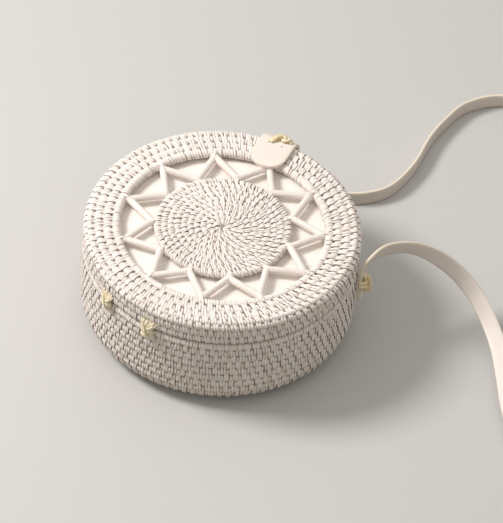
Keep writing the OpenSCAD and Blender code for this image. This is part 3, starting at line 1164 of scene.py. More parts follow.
@dataclass
class Lid:
    """The lid: coiled shell, finely wrapped edge roll and coiled medallion.

    Attributes:
        bag: The bag's sizes.
        cane: The cane's material.
        face_repeat: The strands of the shell.
        medallion_repeat: The strands of the medallion.
    """

    bag: BagSizes
    cane: bpy.types.Material
    face_repeat: StitchRepeat = StitchRepeat(1.9, 1.9, 0.16, 0.5, 0.44, 0.04)
    medallion_repeat: StitchRepeat = StitchRepeat(1.6, 1.3, 0.26, 0.5, 0.6, 0.12, 0.28)

    def shell(self) -> None:
        """Makes the shell, from beside the edge roll down to the seam."""
        line, last = LidLine(self.bag), self.bag.lid_rows - 1
        rows = [
            CoilRow((i + 0.5) * line.pitch, free_after=i == last, gap=SEAM_BACK, shade=SEAM_SHADE)
            for i in range(1, self.bag.lid_rows)
        ]
        coiled = CoiledPiece("woven_lid", line, rows, self.face_repeat, seed=21, shade_strength=0.65)
        finish_piece(coiled.build(), Body.LID, Slot.CANE, self.cane, "lid_shell")

    def edge_roll(self) -> None:
        """Makes the roll round the opening."""
        line = LidLine(self.bag)
        rows = [CoilRow(0.5 * line.pitch, stitched=False, free_before=True)]
        coiled = CoiledPiece("opening_roll", line, rows, self.face_repeat, seed=22)
        finish_piece(coiled.build(), Body.LID, Slot.CANE, self.cane, "lid_edge_roll")

    def medallion(self) -> None:
        """Makes the medallion in the middle of the star."""
        pitch, last = self.bag.medallion_pitch, self.bag.medallion_rows
        coiled = CoiledPiece(
            "woven_medallion",
            FlatLine(self.bag.stick_z + pitch / 2, pitch, True),
            [CoilRow((i + 1) * pitch, free_after=i == last) for i in range(last + 1)],
            self.medallion_repeat,
            seed=23,
            deep=1.6,
            lift=0.5,
            crown=0.42,
            reach=0.5,
            extra_rings=(BUTTON_SHARE * pitch,),
        )
        finish_piece(coiled.build(), Body.LID, Slot.CANE, self.cane, "medallion")

    def build(self) -> None:
        """Makes the three pieces."""
        self.shell()
        self.edge_roll()
        self.medallion()


@dataclass
class OpenStar:
    """The star of wrapped sticks between the medallion and the opening, and the strands that bind it.

    Attributes:
        bag: The bag's sizes.
        stick: The sticks' material.
        cane: The cane's material.
        points: How many points the star has.
        first: Direction of its first inner point, in degrees.
        stick_d: Diameter of a stick.
        inset: Distance of the star's points from the medallion and from the opening's edge.
        reach: How far a stick goes on past its points.
        wrap_mm: Width of the strand that a stick is wrapped with.
        end_share: Size of a stick's closed end, as a share of it.
        wrap_share: Size of a stick between two wraps' grooves, as a share of its size in them.
        bind_w: Width of a binding strand.
    """

    bag: BagSizes
    stick: bpy.types.Material
    cane: bpy.types.Material
    points: int = 11
    first: float = -10.5
    stick_d: float = 4.8
    inset: float = 1.5
    reach: float = 1.3
    wrap_mm: float = 2.3
    end_share: float = 0.55
    wrap_share: float = 1.028
    bind_w: float = 1.45

    @property
    def radii(self) -> tuple[float, float]:
        """Radius of the inner points and of the outer ones."""
        return self.bag.medallion_r + self.inset, self.bag.opening_r - self.inset

    def model_stick(self, length: float) -> tuple[np.ndarray, list[list[int]]]:
        """Models one wrapped stick along X, starting at the origin.

        Args:
            length: The stick's length.

        Returns:
            Its points and faces.
        """
        turns = max(round(length / self.wrap_mm), 4)
        step = length / turns
        only()
        bpy.ops.mesh.primitive_circle_add(
            vertices=16, radius=self.stick_d / 2 * MM, location=(0, 0, 0), rotation=(0, math.pi / 2, 0)
        )
        bpy.ops.object.transform_apply(location=True, rotation=True, scale=True)
        bpy.ops.object.mode_set(mode="EDIT")
        bpy.ops.mesh.select_all(action="SELECT")
        bpy.ops.transform.resize(value=(1, self.end_share, self.end_share))
        # How far each ring of points is along a wrap, and how much larger than the ring before
        wrap = [(0.42, 1.0), (0.42, 1 / self.wrap_share), (0.16, self.wrap_share)]
        for part, size in [(0.22, 1 / self.end_share)] + wrap * turns + [(0.1, 0.5)]:
            bpy.ops.mesh.extrude_region_move(TRANSFORM_OT_translate={"value": (part * step * MM, 0, 0)})
            bpy.ops.transform.resize(value=(1, size, size))
        bpy.ops.mesh.edge_face_add()
        bpy.ops.mesh.select_all(action="SELECT")
        bpy.ops.mesh.normals_make_consistent(inside=False)
        bpy.ops.object.mode_set(mode="OBJECT")
        return take_mesh(bpy.context.object)

    def ends(self, k: int) -> list[np.ndarray]:
        """Gives the two ends of a stick, inner first for even sticks."""
        half = math.pi / self.points
        start = math.radians(self.first) + k * half
        radii = self.radii[::-1] if k % 2 else self.radii
        turns = zip(radii, (start, start + half))
        return [np.array([r * math.cos(t), r * math.sin(t), self.bag.stick_z]) for r, t in turns]

    def sticks(self) -> None:
        """Makes the sticks, each a turned copy of the modelled one with its own wraps."""
        a, b = self.ends(0)
        length = float(np.linalg.norm(b - a)) + 2 * self.reach
        model, faces = self.model_stick(length)
        dice = np.random.default_rng(31)
        up = np.array([0.0, 0.0, 1.0])
        for k in range(2 * self.points):
            a, b = self.ends(k)
            along = unit(b - a)
            side = np.array([-along[1], along[0], 0.0])
            spin = dice.random() * 2 * math.pi
            c, s = math.cos(spin), math.sin(spin)
            y, z = model[:, 1] * c - model[:, 2] * s, model[:, 1] * s + model[:, 2] * c
            turn = np.arctan2(y, z)
            # A wrap runs on a slant, so one side of each ring of points is further along
            slant = 0.4 * turn / math.pi * self.wrap_mm * 0.5
            x = model[:, 0] + np.where((model[:, 0] > 1) & (model[:, 0] < length - 1), slant, 0)
            size = 1 + 0.03 * math.sin(k * 1.7)
            start = a - along * self.reach
            points = start + x[:, None] * along + (y * size)[:, None] * side + (z * size)[:, None] * up
            wrap = np.floor(x / self.wrap_mm)
            tint = 0.5 + 0.4 * np.sin(wrap * 12.9 + k * 3.1)
            own = np.column_stack([x % self.wrap_mm, turn * self.stick_d / 2, wrap + 50.0 * k])
            # Points down in the grooves between wraps are painted a little darker, as shade
            groove = np.abs(np.hypot(model[:, 1], model[:, 2]) / (self.stick_d / 2) - 1) < 0.012
            gathered = Gathered()
            gathered.add(points, faces, {"tint": tint, "hollow": 0.06 * groove}, {"strand": own})
            name = f"star_stick_{k + 1:02d}"
            finish_piece(gathered.make("wrapped_" + name), Body.LID, Slot.STICK, self.stick, name)

    def bindings(self) -> None:
        """Makes the strands that tie the sticks' ends to the medallion and to the edge roll."""
        dice = np.random.default_rng(32)
        top = self.bag.stick_z + self.stick_d / 2
        face, disc = self.bag.bag_h, self.bag.stick_z + self.bag.medallion_pitch / 2
        inner = [(-3.6, disc - 1.3), (-2.4, disc - 0.6), (-0.8, disc - 0.7), (0.6, top - 0.7)]
        inner += [(1.5, top - 1.0), (2.1, top - 2.0), (2.4, top - 3.4)]
        outer = [(5.2, face - 1.4), (4.0, face - 0.4), (1.8, face - 0.3), (0.0, top - 0.1)]
        outer += [(-1.8, top - 0.4), (-2.6, top - 1.8), (-2.8, top - 3.4)]
        gathered = Gathered()
        for k in range(self.points):
            for half_turn, (middle, run) in enumerate(zip(self.radii, (inner, outer))):
                turn = math.radians(self.first) + (2 * k + half_turn) * math.pi / self.points
                for side in (-0.7, 0.7):
                    self.bind(gathered, middle, run, turn, side + dice.normal(0, 0.1), half_turn, dice)
        finish_piece(gathered.make("star_bindings"), Body.LID, Slot.CANE, self.cane)

    def bind(
        self,
        gathered: Gathered,
        middle: float,
        run: list[tuple[float, float]],
        turn: float,
        side: float,
        cross: float,
        dice: np.random.Generator,
    ) -> None:
        """Adds one binding strand.

        Args:
            gathered: The bindings so far.
            middle: Radius of the joint.
            run: Distance from the joint and height of each of the strand's points.
            turn: Direction of the joint.
            side: How far the strand lies to the side.
            cross: How far it crosses to the other side, as a share of twice that.
            dice: The source of small irregularities.
        """
        line = smooth_run(np.array(run), 2)
        across, step, crown, faces = STRAND.shape(len(line) - 1)
        radial = middle + line[:, 0]
        out, sign, distance = out_of_run(radial, line[:, 1], (0.0, 1.0))
        lift = crown * 0.4
        lateral = across * self.bind_w + side * (1 - 2 * cross * step / step.max())
        r = radial[step] + out[step, 0] * lift
        z = line[step, 1] + out[step, 1] * lift
        c, s = math.cos(turn), math.sin(turn)
        points = np.column_stack([r * c - lateral * s, r * s + lateral * c, z])
        own = np.column_stack([across * 1.6, distance[step], np.full(len(across), dice.random() * 50)])
        quads = faces if sign > 0 else faces[:, ::-1]
        # The binding strand's low edges are painted a little darker, as shade
        rim = 0.1 * (np.abs(across) > STRAND_EDGE_SHARE)
        gathered.add(points, quads, {"tint": dice.random() * 0.7, "hollow": rim}, {"strand": own})

    def build(self) -> None:
        """Makes the sticks and their bindings."""
        self.sticks()
        self.bindings()


@dataclass
class Linings:
    """The cloth-covered boards inside the body and the lid.

    Attributes:
        bag: The bag's sizes.
        cloth: The cloth's material.
        board_t: Thickness of board and cloth.
        lid_r: Radius of the lid's lining.
        lid_z: Height of the upper face of the lid's panel.
        floor_z: Height of the lower face of the floor's board.
        pitch: Pitch of the wall's coils, which the lining stands inside.
        seam_back: How far the sides' edges stay back from the seam.
        fold: Height of a side's folded edge.
        corner: Round a side's foot, the directions of its points in degrees.
        rise: Heights of the points further up the body's side.
        waves: How many waves each set has round the bag.
        phases: Span of the waves' starts, in radians.
    """

    bag: BagSizes
    cloth: bpy.types.Material
    board_t: float = 0.8
    lid_r: float = 85.39
    lid_z: float = 70.14
    floor_z: float = 5.41
    pitch: float = 5.76
    seam_back: float = 0.75
    fold: float = 0.5
    corner: tuple[float, ...] = (-86, -66, -44, -22, 0)
    rise: tuple[float, float] = (30.0, 44.0)
    waves: tuple[int, ...] = (2, 3, 5, 9, 14)
    phases: float = 6.28

    def pucker(self, piece: bpy.types.Object, size: float, seed: int) -> None:
        """Lets the cloth stand off its board a little, in soft waves.

        Args:
            piece: The cloth.
            size: How far the waves reach.
            seed: Where the waves start.
        """
        points = points_of(piece)
        turn = np.arctan2(points[:, 1], points[:, 0])
        r = np.hypot(points[:, 0], points[:, 1])
        dice = np.random.default_rng(seed)
        wave = np.zeros(len(points))
        for count in self.waves:
            phase = dice.random(2) * self.phases
            around = np.sin(count * turn + phase[0] + points[:, 2] * 0.05)
            outward = np.cos(r / 17 * (1 + count / 9) + phase[1])
            wave += around * outward / (1 + count / 3)
        level = np.abs(np.array([v.normal[2] for v in piece.data.vertices])) > 0.7
        points[:, 2] += np.where(level, size * wave * ease(r, 4, 20), 0)
        inward = np.where(level, 0, -size * np.abs(wave))
        points[:, 0] += inward * np.cos(turn)
        points[:, 1] += inward * np.sin(turn)
        set_points(piece, points)

    def finish(self, piece: bpy.types.Object, body: Body, size: float, seed: int, node: str) -> None:
        """Puckers a lining and dresses it.

        Args:
            piece: The cloth.
            body: The body that it rides on.
            size: How far its waves reach.
            seed: Where its waves start.
            node: The CAD node that it stands for.
        """
        self.pucker(piece, size, seed)
        finish_piece(piece, body, Slot.LINING, self.cloth, node)

    def disc(self, name: str, low: float, high: float, r: float) -> bpy.types.Object:
        """Makes a board covered with cloth, with turned edges.

        Args:
            name: The piece's name.
            low: Height of its lower face.
            high: Height of its upper face.
            r: Its radius.

        Returns:
            The board.
        """
        fold = (high - low) / 2 * 0.6
        upper = [(r * k / 9, high) for k in range(9)]
        edge = [(r - 0.6, high), (r, high - fold), (r, low + fold), (r - 0.6, low)]
        lower = [(r * k / 5, low) for k in range(4, -1, -1)]
        return lathe(name, upper + edge + lower, ROUND_STEPS)

    def folded(self, r: float, edge: float, board: float) -> list[tuple[float, float]]:
        """Gives the folded edge of a side's lining.

        Args:
            r: Radius of its outer face.
            edge: Height of the edge.
            board: Height where the board starts.

        Returns:
            Radius and height of its points, from the outer face to the inner one.
        """
        t = self.board_t
        return [(r, board), (r - t / 2, edge), (r - t, board)]

    def lid_linings(self) -> None:
        """Makes the lid's panel and side."""
        t, r = self.board_t, self.lid_r
        panel = self.disc("lid_lining_cloth", self.lid_z - t, self.lid_z, r)
        self.finish(panel, Body.LID, 0.16, 41, "lid_lining_panel")
        low, high = self.bag.seam_z + self.seam_back, self.lid_z - t - 0.1
        profile = [(r, high), *self.folded(r, low, low + self.fold), (r - t, (low + high) / 2), (r - t, high)]
        ring = lathe("lid_side_cloth", profile, SIDE_STEPS)
        self.finish(ring, Body.LID, 0.12, 42, "lid_lining_side")

    def body_linings(self) -> None:
        """Makes the body's floor and side."""
        bag, t = self.bag, self.board_t
        floor_r = bag.wall_r - bag.foot_round
        floor = self.disc("floor_cloth", self.floor_z, self.floor_z + t, floor_r)
        self.finish(floor, Body.BASKET, 0.2, 43, "body_lining_floor")

        def round_foot(r: float) -> list[tuple[float, float]]:
            """Gives the run round the foot, at a distance from the middle of its rounding."""
            turns = [math.radians(v) for v in self.corner]
            return [(floor_r + r * math.cos(v), bag.foot_round + r * math.sin(v)) for v in turns]

        corner = bag.foot_round - self.pitch - 0.4
        top, r = bag.seam_z - self.seam_back, floor_r + corner
        outside, inside = round_foot(corner), round_foot(corner - t)
        up, down = [(r, z) for z in self.rise], [(r - t, z) for z in self.rise[::-1]]
        edge = self.folded(r, top, top - self.fold)
        profile = outside + up + edge + down + inside[::-1] + outside[:1]
        side = lathe("side_cloth", profile, SIDE_STEPS)
        self.finish(side, Body.BASKET, 0.12, 44, "body_lining_side")

    def build(self) -> None:
        """Makes the four linings."""
        self.lid_linings()
        self.body_linings()


# Lace and leather

LACE_SIDES = 10  # Corners of the lace's outline
LACE_STEPS = 6  # Steps from one of its places to the next
LACE_END_SHARE = 0.72  # Size of the lace's cut ends, as a share of it
TIE_TURN = 12.0  # How far each tied end is turned off the wall, in degrees
TIE_SEAT = 0.5  # Gap between the wall and the nearer edge of a tied end

Place = tuple[float, float, float]


def round_section(width: float, thick: float) -> np.ndarray:
    """Gives the lace's oval outline."""
    turn = np.linspace(0, 2 * np.pi, LACE_SIDES, endpoint=False)
    return np.column_stack([np.cos(turn) * width / 2, np.sin(turn) * thick / 2])


def flat_section(width: float, thick: float) -> np.ndarray:
    """Gives the outline of a leather strip: slightly crowned faces and eased edges."""
    w, t = width / 2, thick / 2
    right = [(w, 0.3 * t), (w - 0.18, 0.72 * t), (w - 0.6, 0.94 * t), (0.5 * w, t)]
    upper = right + [(-x, y) for x, y in right[::-1]]
    return np.array(upper + [(-x, -y) for x, y in upper])


@dataclass(frozen=True)
class LaceRun:
    """One run of lace.

    Attributes:
        places: The places that it goes through, in the measures of what it is tied on.
        width: The lace's width.
        thick: Its thickness.
    """

    places: tuple[Place, ...] | list[Place]
    width: float = 2.8
    thick: float = 1.9

    def add_to(
        self, gathered: Gathered, at: Callable[[float, float, float], np.ndarray], facing: np.ndarray
    ) -> None:
        """Adds the run to the lace so far.

        Args:
            gathered: The lace so far.
            at: Gives the point of a place, in millimetres.
            facing: The direction that its flat side faces at the start.
        """
        path = smooth_run(np.array([at(*place) for place in self.places]), LACE_STEPS)
        wide, out = carried_frames(path, facing)
        shares = np.ones(len(path))
        shares[0] = shares[-1] = LACE_END_SHARE
        section = round_section(self.width, self.thick)
        points, faces = sweep(path, wide, out, section, shares)
        rim = np.tile(ease(np.abs(section[:, 0]), self.width * 0.28, self.width * 0.5), len(path))
        ends = np.repeat(shares < 1, len(section))
        gathered.add(points, faces, {"edge": np.clip(rim * 0.6 + 0.5 * ends, 0, 1)})


@dataclass(frozen=True)
class TiePlace:
    """Where an end of the strap is tied to the wall.

    Attributes:
        angle: Its direction from the axis, in degrees.
        turned: How far it is turned off the wall, in degrees.
        knot_up: How far up its knot sits from the usual place.
        inner_r: Distance of its back face's middle from the axis.
        top: Height of its upper end.
    """

    angle: float
    turned: float
    knot_up: float
    inner_r: float = BAG.wall_r + TIE_SEAT + BAG.strap_w / 2 * math.sin(math.radians(TIE_TURN))
    top: float = 57.0

    @property
    def facing(self) -> np.ndarray:
        """The direction that its outside faces."""
        turn = math.radians(self.angle + self.turned)
        return np.array([math.cos(turn), math.sin(turn), 0.0])

    @property
    def across(self) -> np.ndarray:
        """The direction of its width."""
        face = self.facing
        return np.array([-face[1], face[0], 0.0])

    def at(self, out: float, side: float, up: float) -> np.ndarray:
        """Gives a point by its distances out, to the side and up from the tie's upper middle."""
        turn = math.radians(self.angle)
        start = np.array([self.inner_r * math.cos(turn), self.inner_r * math.sin(turn), self.top])
        return start + self.facing * out + self.across * side + np.array([0, 0, up])


TIE_A = TiePlace(31.0, -TIE_TURN, 3.6)
TIE_B = TiePlace(169.0, TIE_TURN, -1.0)


@dataclass
class LeatherCut:
    """A flat leather piece, cut along X with a rounded outline, eased edges and holes for the lace.

    Attributes:
        name: The piece's name.
        length: Its length.
        thick: Its thickness.
        width_at: Gives the half width at a distance along it.
        holes: Distance along and to the side of each hole.
        steps: How many faces it has along its length.
        across_steps: How many faces it has across.
        hole_d: Diameter of a hole.
        ease_r: How far its edges are eased.
    """

    name: str
    length: float
    thick: float
    width_at: Callable[[float], float]
    holes: tuple[tuple[float, float], ...]
    steps: int
    across_steps: int = 8
    hole_d: float = 1.3
    ease_r: float = 0.35

    def sheet(self) -> bpy.types.Object:
        """Makes the sheet in its outline, with its thickness.

        Returns:
            The flat piece with its outer face at a height of its thickness.
        """
        only()
        bpy.ops.mesh.primitive_grid_add(
            x_subdivisions=self.steps, y_subdivisions=self.across_steps, size=1.0, location=(0, 0, 0)
        )
        piece = bpy.context.object
        piece.name = piece.data.name = self.name
        square = points_of(piece) * MM
        x = (square[:, 0] + 0.5) * self.length
        half = np.array([self.width_at(v) for v in x])
        set_points(piece, np.column_stack([x, square[:, 1] * 2 * half, np.zeros(len(x))]))
        bpy.ops.object.mode_set(mode="EDIT")
        bpy.ops.mesh.select_all(action="SELECT")
        bpy.ops.mesh.remove_doubles(threshold=2 * MERGED_MM * MM)
        bpy.ops.object.mode_set(mode="OBJECT")
        shell = piece.modifiers.new("thickness", "SOLIDIFY")
        shell.thickness, shell.offset = self.thick * MM, 1.0
        bpy.ops.object.modifier_apply(modifier=shell.name)
        return piece

    def punch(self, piece: bpy.types.Object) -> None:
        """Cuts the holes.

        Args:
            piece: The sheet.
        """
        for along, side in self.holes:
            place = (along * MM, side * MM, 0)
            bpy.ops.mesh.primitive_cylinder_add(
                vertices=14, radius=self.hole_d / 2 * MM, depth=4 * self.thick * MM, location=place
            )
            tool = bpy.context.object
            only(piece)
            cut = piece.modifiers.new("punch", "BOOLEAN")
            cut.operation, cut.object, cut.solver = "DIFFERENCE", tool, "EXACT"
            bpy.ops.object.modifier_apply(modifier=cut.name)
            bpy.data.objects.remove(tool)

    def mark_edge(self, piece: bpy.types.Object, flat: np.ndarray) -> None:
        """Stores how near each point is to the cut edge of the leather.

        Args:
            piece: The leather piece.
            flat: Its points.
        """
        half = np.array([self.width_at(v) for v in flat[:, 0]])
        rim = np.minimum(half - np.abs(flat[:, 1]), np.minimum(flat[:, 0], self.length - flat[:, 0]))
        inside = (flat[:, 2] > 0.08 * self.thick) & (flat[:, 2] < 0.92 * self.thick)
        near = (1 - ease(rim, 0.05, 0.6)) * (0.35 + 0.65 * inside)
        store = piece.data.attributes.new("edge", "FLOAT", "POINT")
        store.data.foreach_set("value", near.astype(np.float32))

    def build(self) -> tuple[bpy.types.Object, np.ndarray]:
        """Cuts the piece.

        Returns:
            The flat piece and its points.
        """
        piece = self.sheet()
        self.punch(piece)
        eased = piece.modifiers.new("eased", "BEVEL")
        eased.width, eased.segments, eased.limit_method = self.ease_r * MM, 2, "ANGLE"
        eased.angle_limit = math.radians(50)
        bpy.ops.object.modifier_apply(modifier=eased.name)
        bpy.ops.object.shade_smooth_by_angle(angle=math.radians(40))
        flat = points_of(piece)
        self.mark_edge(piece, flat)
        return piece, flat


@dataclass
class ShoulderStrap:
    """The leather strap's free run: it arches off one tie, lies on its edge, and comes back to the other.

    Attributes:
        bag: The bag's sizes.
        leather: The strap's material.
        steps: How many steps it takes from one point of its route to the next.
        route: The middle line's points.
        lie: The direction of the strap's width at each of them.
    """

    bag: BagSizes
    leather: bpy.types.Material
    steps: int = 6
    route: tuple[Place, ...] = (
        (80.8, 48.5, 57), (81.6, 50.1, 62.3), (82.6, 54.3, 66.2), (83.4, 60.4, 67.8),
        (84.5, 66.9, 67.3), (87, 75.2, 65), (91, 84.9, 61), (96.7, 94.5, 54), (104, 102.5, 46),
        (112.8, 108.7, 37), (122, 111.3, 29), (132.9, 110.8, 22), (146, 106.3, 16), (164, 95.5, 11),
        (181.5, 80, 8.5), (201.9, 60.5, 7.5), (228.2, 40.7, 7), (262.5, 35, 6), (290, 55, 6),
        (292, 92, 6), (272, 136, 6), (233, 182, 6), (186, 228, 6), (139, 267, 6), (90, 298, 6),
        (46, 305, 6), (12, 287, 6), (-2, 263, 6), (-2, 239, 6), (2, 217, 6), (11, 190, 6), (14, 164, 6),
        (9, 148, 6), (-2, 135, 6), (-27, 119, 6), (-46, 104, 8), (-62, 89, 14), (-75, 75.5, 22),
        (-86, 60, 33), (-93, 44.5, 44), (-96, 33, 52), (-97, 26, 57.5), (-96, 21, 60.5),
        (-94.3, 18.6, 60.4), (-93, 18, 57),
    )  # fmt: skip
    lie: tuple[Place, ...] = (
        (-0.3, 0.9, 0), (-0.22, 0.86, -0.5), (-0.25, 0.5, -0.85), (-0.2, 0.1, -1), (-0.18, 0, -1),
        (-0.15, 0, -1), (-0.25, -0.1, -1), (-0.2, -0.2, -1), (-0.1, -0.4, -0.9), (-0.2, -0.6, -0.7),
        (-0.3, -0.7, -0.5), (-0.4, -0.8, -0.4), (-0.5, -0.8, -0.3), (-0.6, -0.8, -0.3),
        (-0.6, -0.7, -0.4), (-0.6, -0.6, -0.7), (-0.2, -0.4, -1), *[(0, 0, -1)] * 22,
        (-0.05, -0.5, -0.85), (-0.3, -0.55, -0.78), (-0.54, -0.49, -0.69), (-0.6, -0.6, -0.3),
        (-0.4, -0.9, -0.1), (0, -1, 0),
    )  # fmt: skip

    def build(self) -> None:
        width, thick = self.bag.strap_w, self.bag.leather_t
        points, lie = np.array(self.route, float), np.array(self.lie, float)
        for k, end in ((0, TIE_A), (-1, TIE_B)):
            points[k] = end.at(thick / 2, 0, 0)
            lie[k] = end.across
        path, lie = smooth_run(points, self.steps), smooth_run(lie, self.steps)
        along = unit(np.gradient(path, axis=0))
        along[0], along[-1] = (0, 0, 1), (0, 0, -1)
        wide = unit(lie - along * np.sum(lie * along, axis=1, keepdims=True))
        section = flat_section(width, thick)
        made, faces = sweep(path, wide, np.cross(along, wide), section, np.ones(len(path)))
        edge = np.tile(ease(np.abs(section[:, 0]), width / 2 - 0.5, width / 2 - 0.1), len(path))
        gathered = Gathered()
        gathered.add(made, faces, {"edge": edge})
        strap = finish_piece(gathered.make("leather_strap"), Body.BASKET, Slot.LEATHER, self.leather, "strap")
        length = float(np.cumsum(np.linalg.norm(np.diff(path, axis=0), axis=1))[-1]) * MM
        LOG.info("strap: %.3f m along its middle", length)


@dataclass
class StrapTies:
    """The strap's two tied ends: a leather tongue on the wall, and the lace that knots it.

    Attributes:
        bag: The bag's sizes.
        leather: The strap's material.
        lace: The lace's material.
        tongue_w: The tongue's width.
        length: The tongue's length.
        taper: Length over which it narrows.
        holes: Distance down and to the side of each hole in it.
        runs: A bound bar, two turns round it, a knot over it and a tail, each by its distances off the
            leather, to the side and up from the tongue's top.
    """

    bag: BagSizes
    leather: bpy.types.Material
    lace: bpy.types.Material
    tongue_w: float = 8.0
    length: float = 26.0
    taper: float = 7.0
    holes: tuple[tuple[float, float], ...] = ((6.5, 0), (15.5, 0))
    runs: tuple[LaceRun, ...] = (
        LaceRun((
            (-1.5, 0.2, -5.6), (0.9, 0.5, -6.4), (1.4, 0.4, -9), (1.6, -0.3, -12), (1.1, -0.4, -15),
            (-1.5, 0, -16.3),
        )),
        LaceRun((
            (-1.6, -4.6, -9.4), (0.6, -4.3, -9.8), (2.7, -1.4, -10.4), (3.3, 1.2, -10.2), (1.7, 3.6, -9.4),
            (-1.2, 4.7, -8.6),
        )),
        LaceRun((
            (-1.5, -4.7, -12.6), (1.2, -3.6, -13), (3.5, -0.8, -12.6), (3.2, 2.0, -12.2), (0.8, 4.0, -12.8),
            (-1.5, 4.7, -13.2),
        )),
        LaceRun((
            (0.6, 2.6, -7.0), (2.7, 1.6, -8.2), (4.7, 0.4, -10.4), (5.0, -0.8, -13.0), (3.2, -2.2, -15.0),
            (2.4, -2.9, -17.4),
        ), 3.2, 2.1),
        LaceRun(((1.4, 2.8, -13.6), (3.6, 2.2, -14.6), (4.6, 0.8, -16.4), (4.2, 0.2, -18.6)), 2.6, 1.7),
    )  # fmt: skip

    def half_width(self, along: float) -> float:
        """Gives the tongue's half width at a distance from its top."""
        strap_w, r = self.bag.strap_w, self.tongue_w / 2
        wide = strap_w / 2 + (self.tongue_w - strap_w) / 2 * min(along / self.taper, 1)
        left = self.length - along
        return wide if left > r else math.sqrt(max(r * r - (r - left) ** 2, 0.0))

    def tongue(self, tie: TiePlace, name: str, node: str) -> None:
        """Makes the leather tongue of one end.

        Args:
            tie: Where the end is tied.
            name: The piece's name.
            node: The CAD node that it stands for.
        """
        cut = LeatherCut(name, self.length, self.bag.leather_t, self.half_width, self.holes, steps=26)
        piece, flat = cut.build()
        curl = 0.35 * ((flat[:, 0] / self.length) ** 2) * (1 + 0.3 * flat[:, 1] / self.tongue_w)
        points = tie.at(0, 0, 0) + (flat[:, 2] + curl)[:, None] * tie.facing + flat[:, 1, None] * tie.across
        points[:, 2] -= flat[:, 0]
        set_points(piece, points)
        finish_piece(piece, Body.BASKET, Slot.LEATHER, self.leather, node)

    def knot(self, tie: TiePlace, name: str, node: str) -> None:
        """Makes the lace of one end.

        Args:
            tie: Where the end is tied.
            name: The piece's name.
            node: The CAD node that it stands for.
        """

        def at(out: float, side: float, up: float) -> np.ndarray:
            """Gives a point by its distances off the leather, to the side and up from the tongue's top."""
            return tie.at(self.bag.leather_t + out, side, up + tie.knot_up)

        gathered = Gathered()
        for run in self.runs:
            run.add_to(gathered, at, tie.facing)
        finish_piece(gathered.make(name), Body.BASKET, Slot.LACE, self.lace, node)

    def build(self) -> None:
        """Makes both ends."""
        self.tongue(TIE_A, "strap_tongue_a", "strap_end_a")
        self.tongue(TIE_B, "strap_tongue_b", "strap_end_b")
        self.knot(TIE_A, "strap_lace_a", "strap_knot_a")
        self.knot(TIE_B, "strap_lace_b", "strap_knot_b")


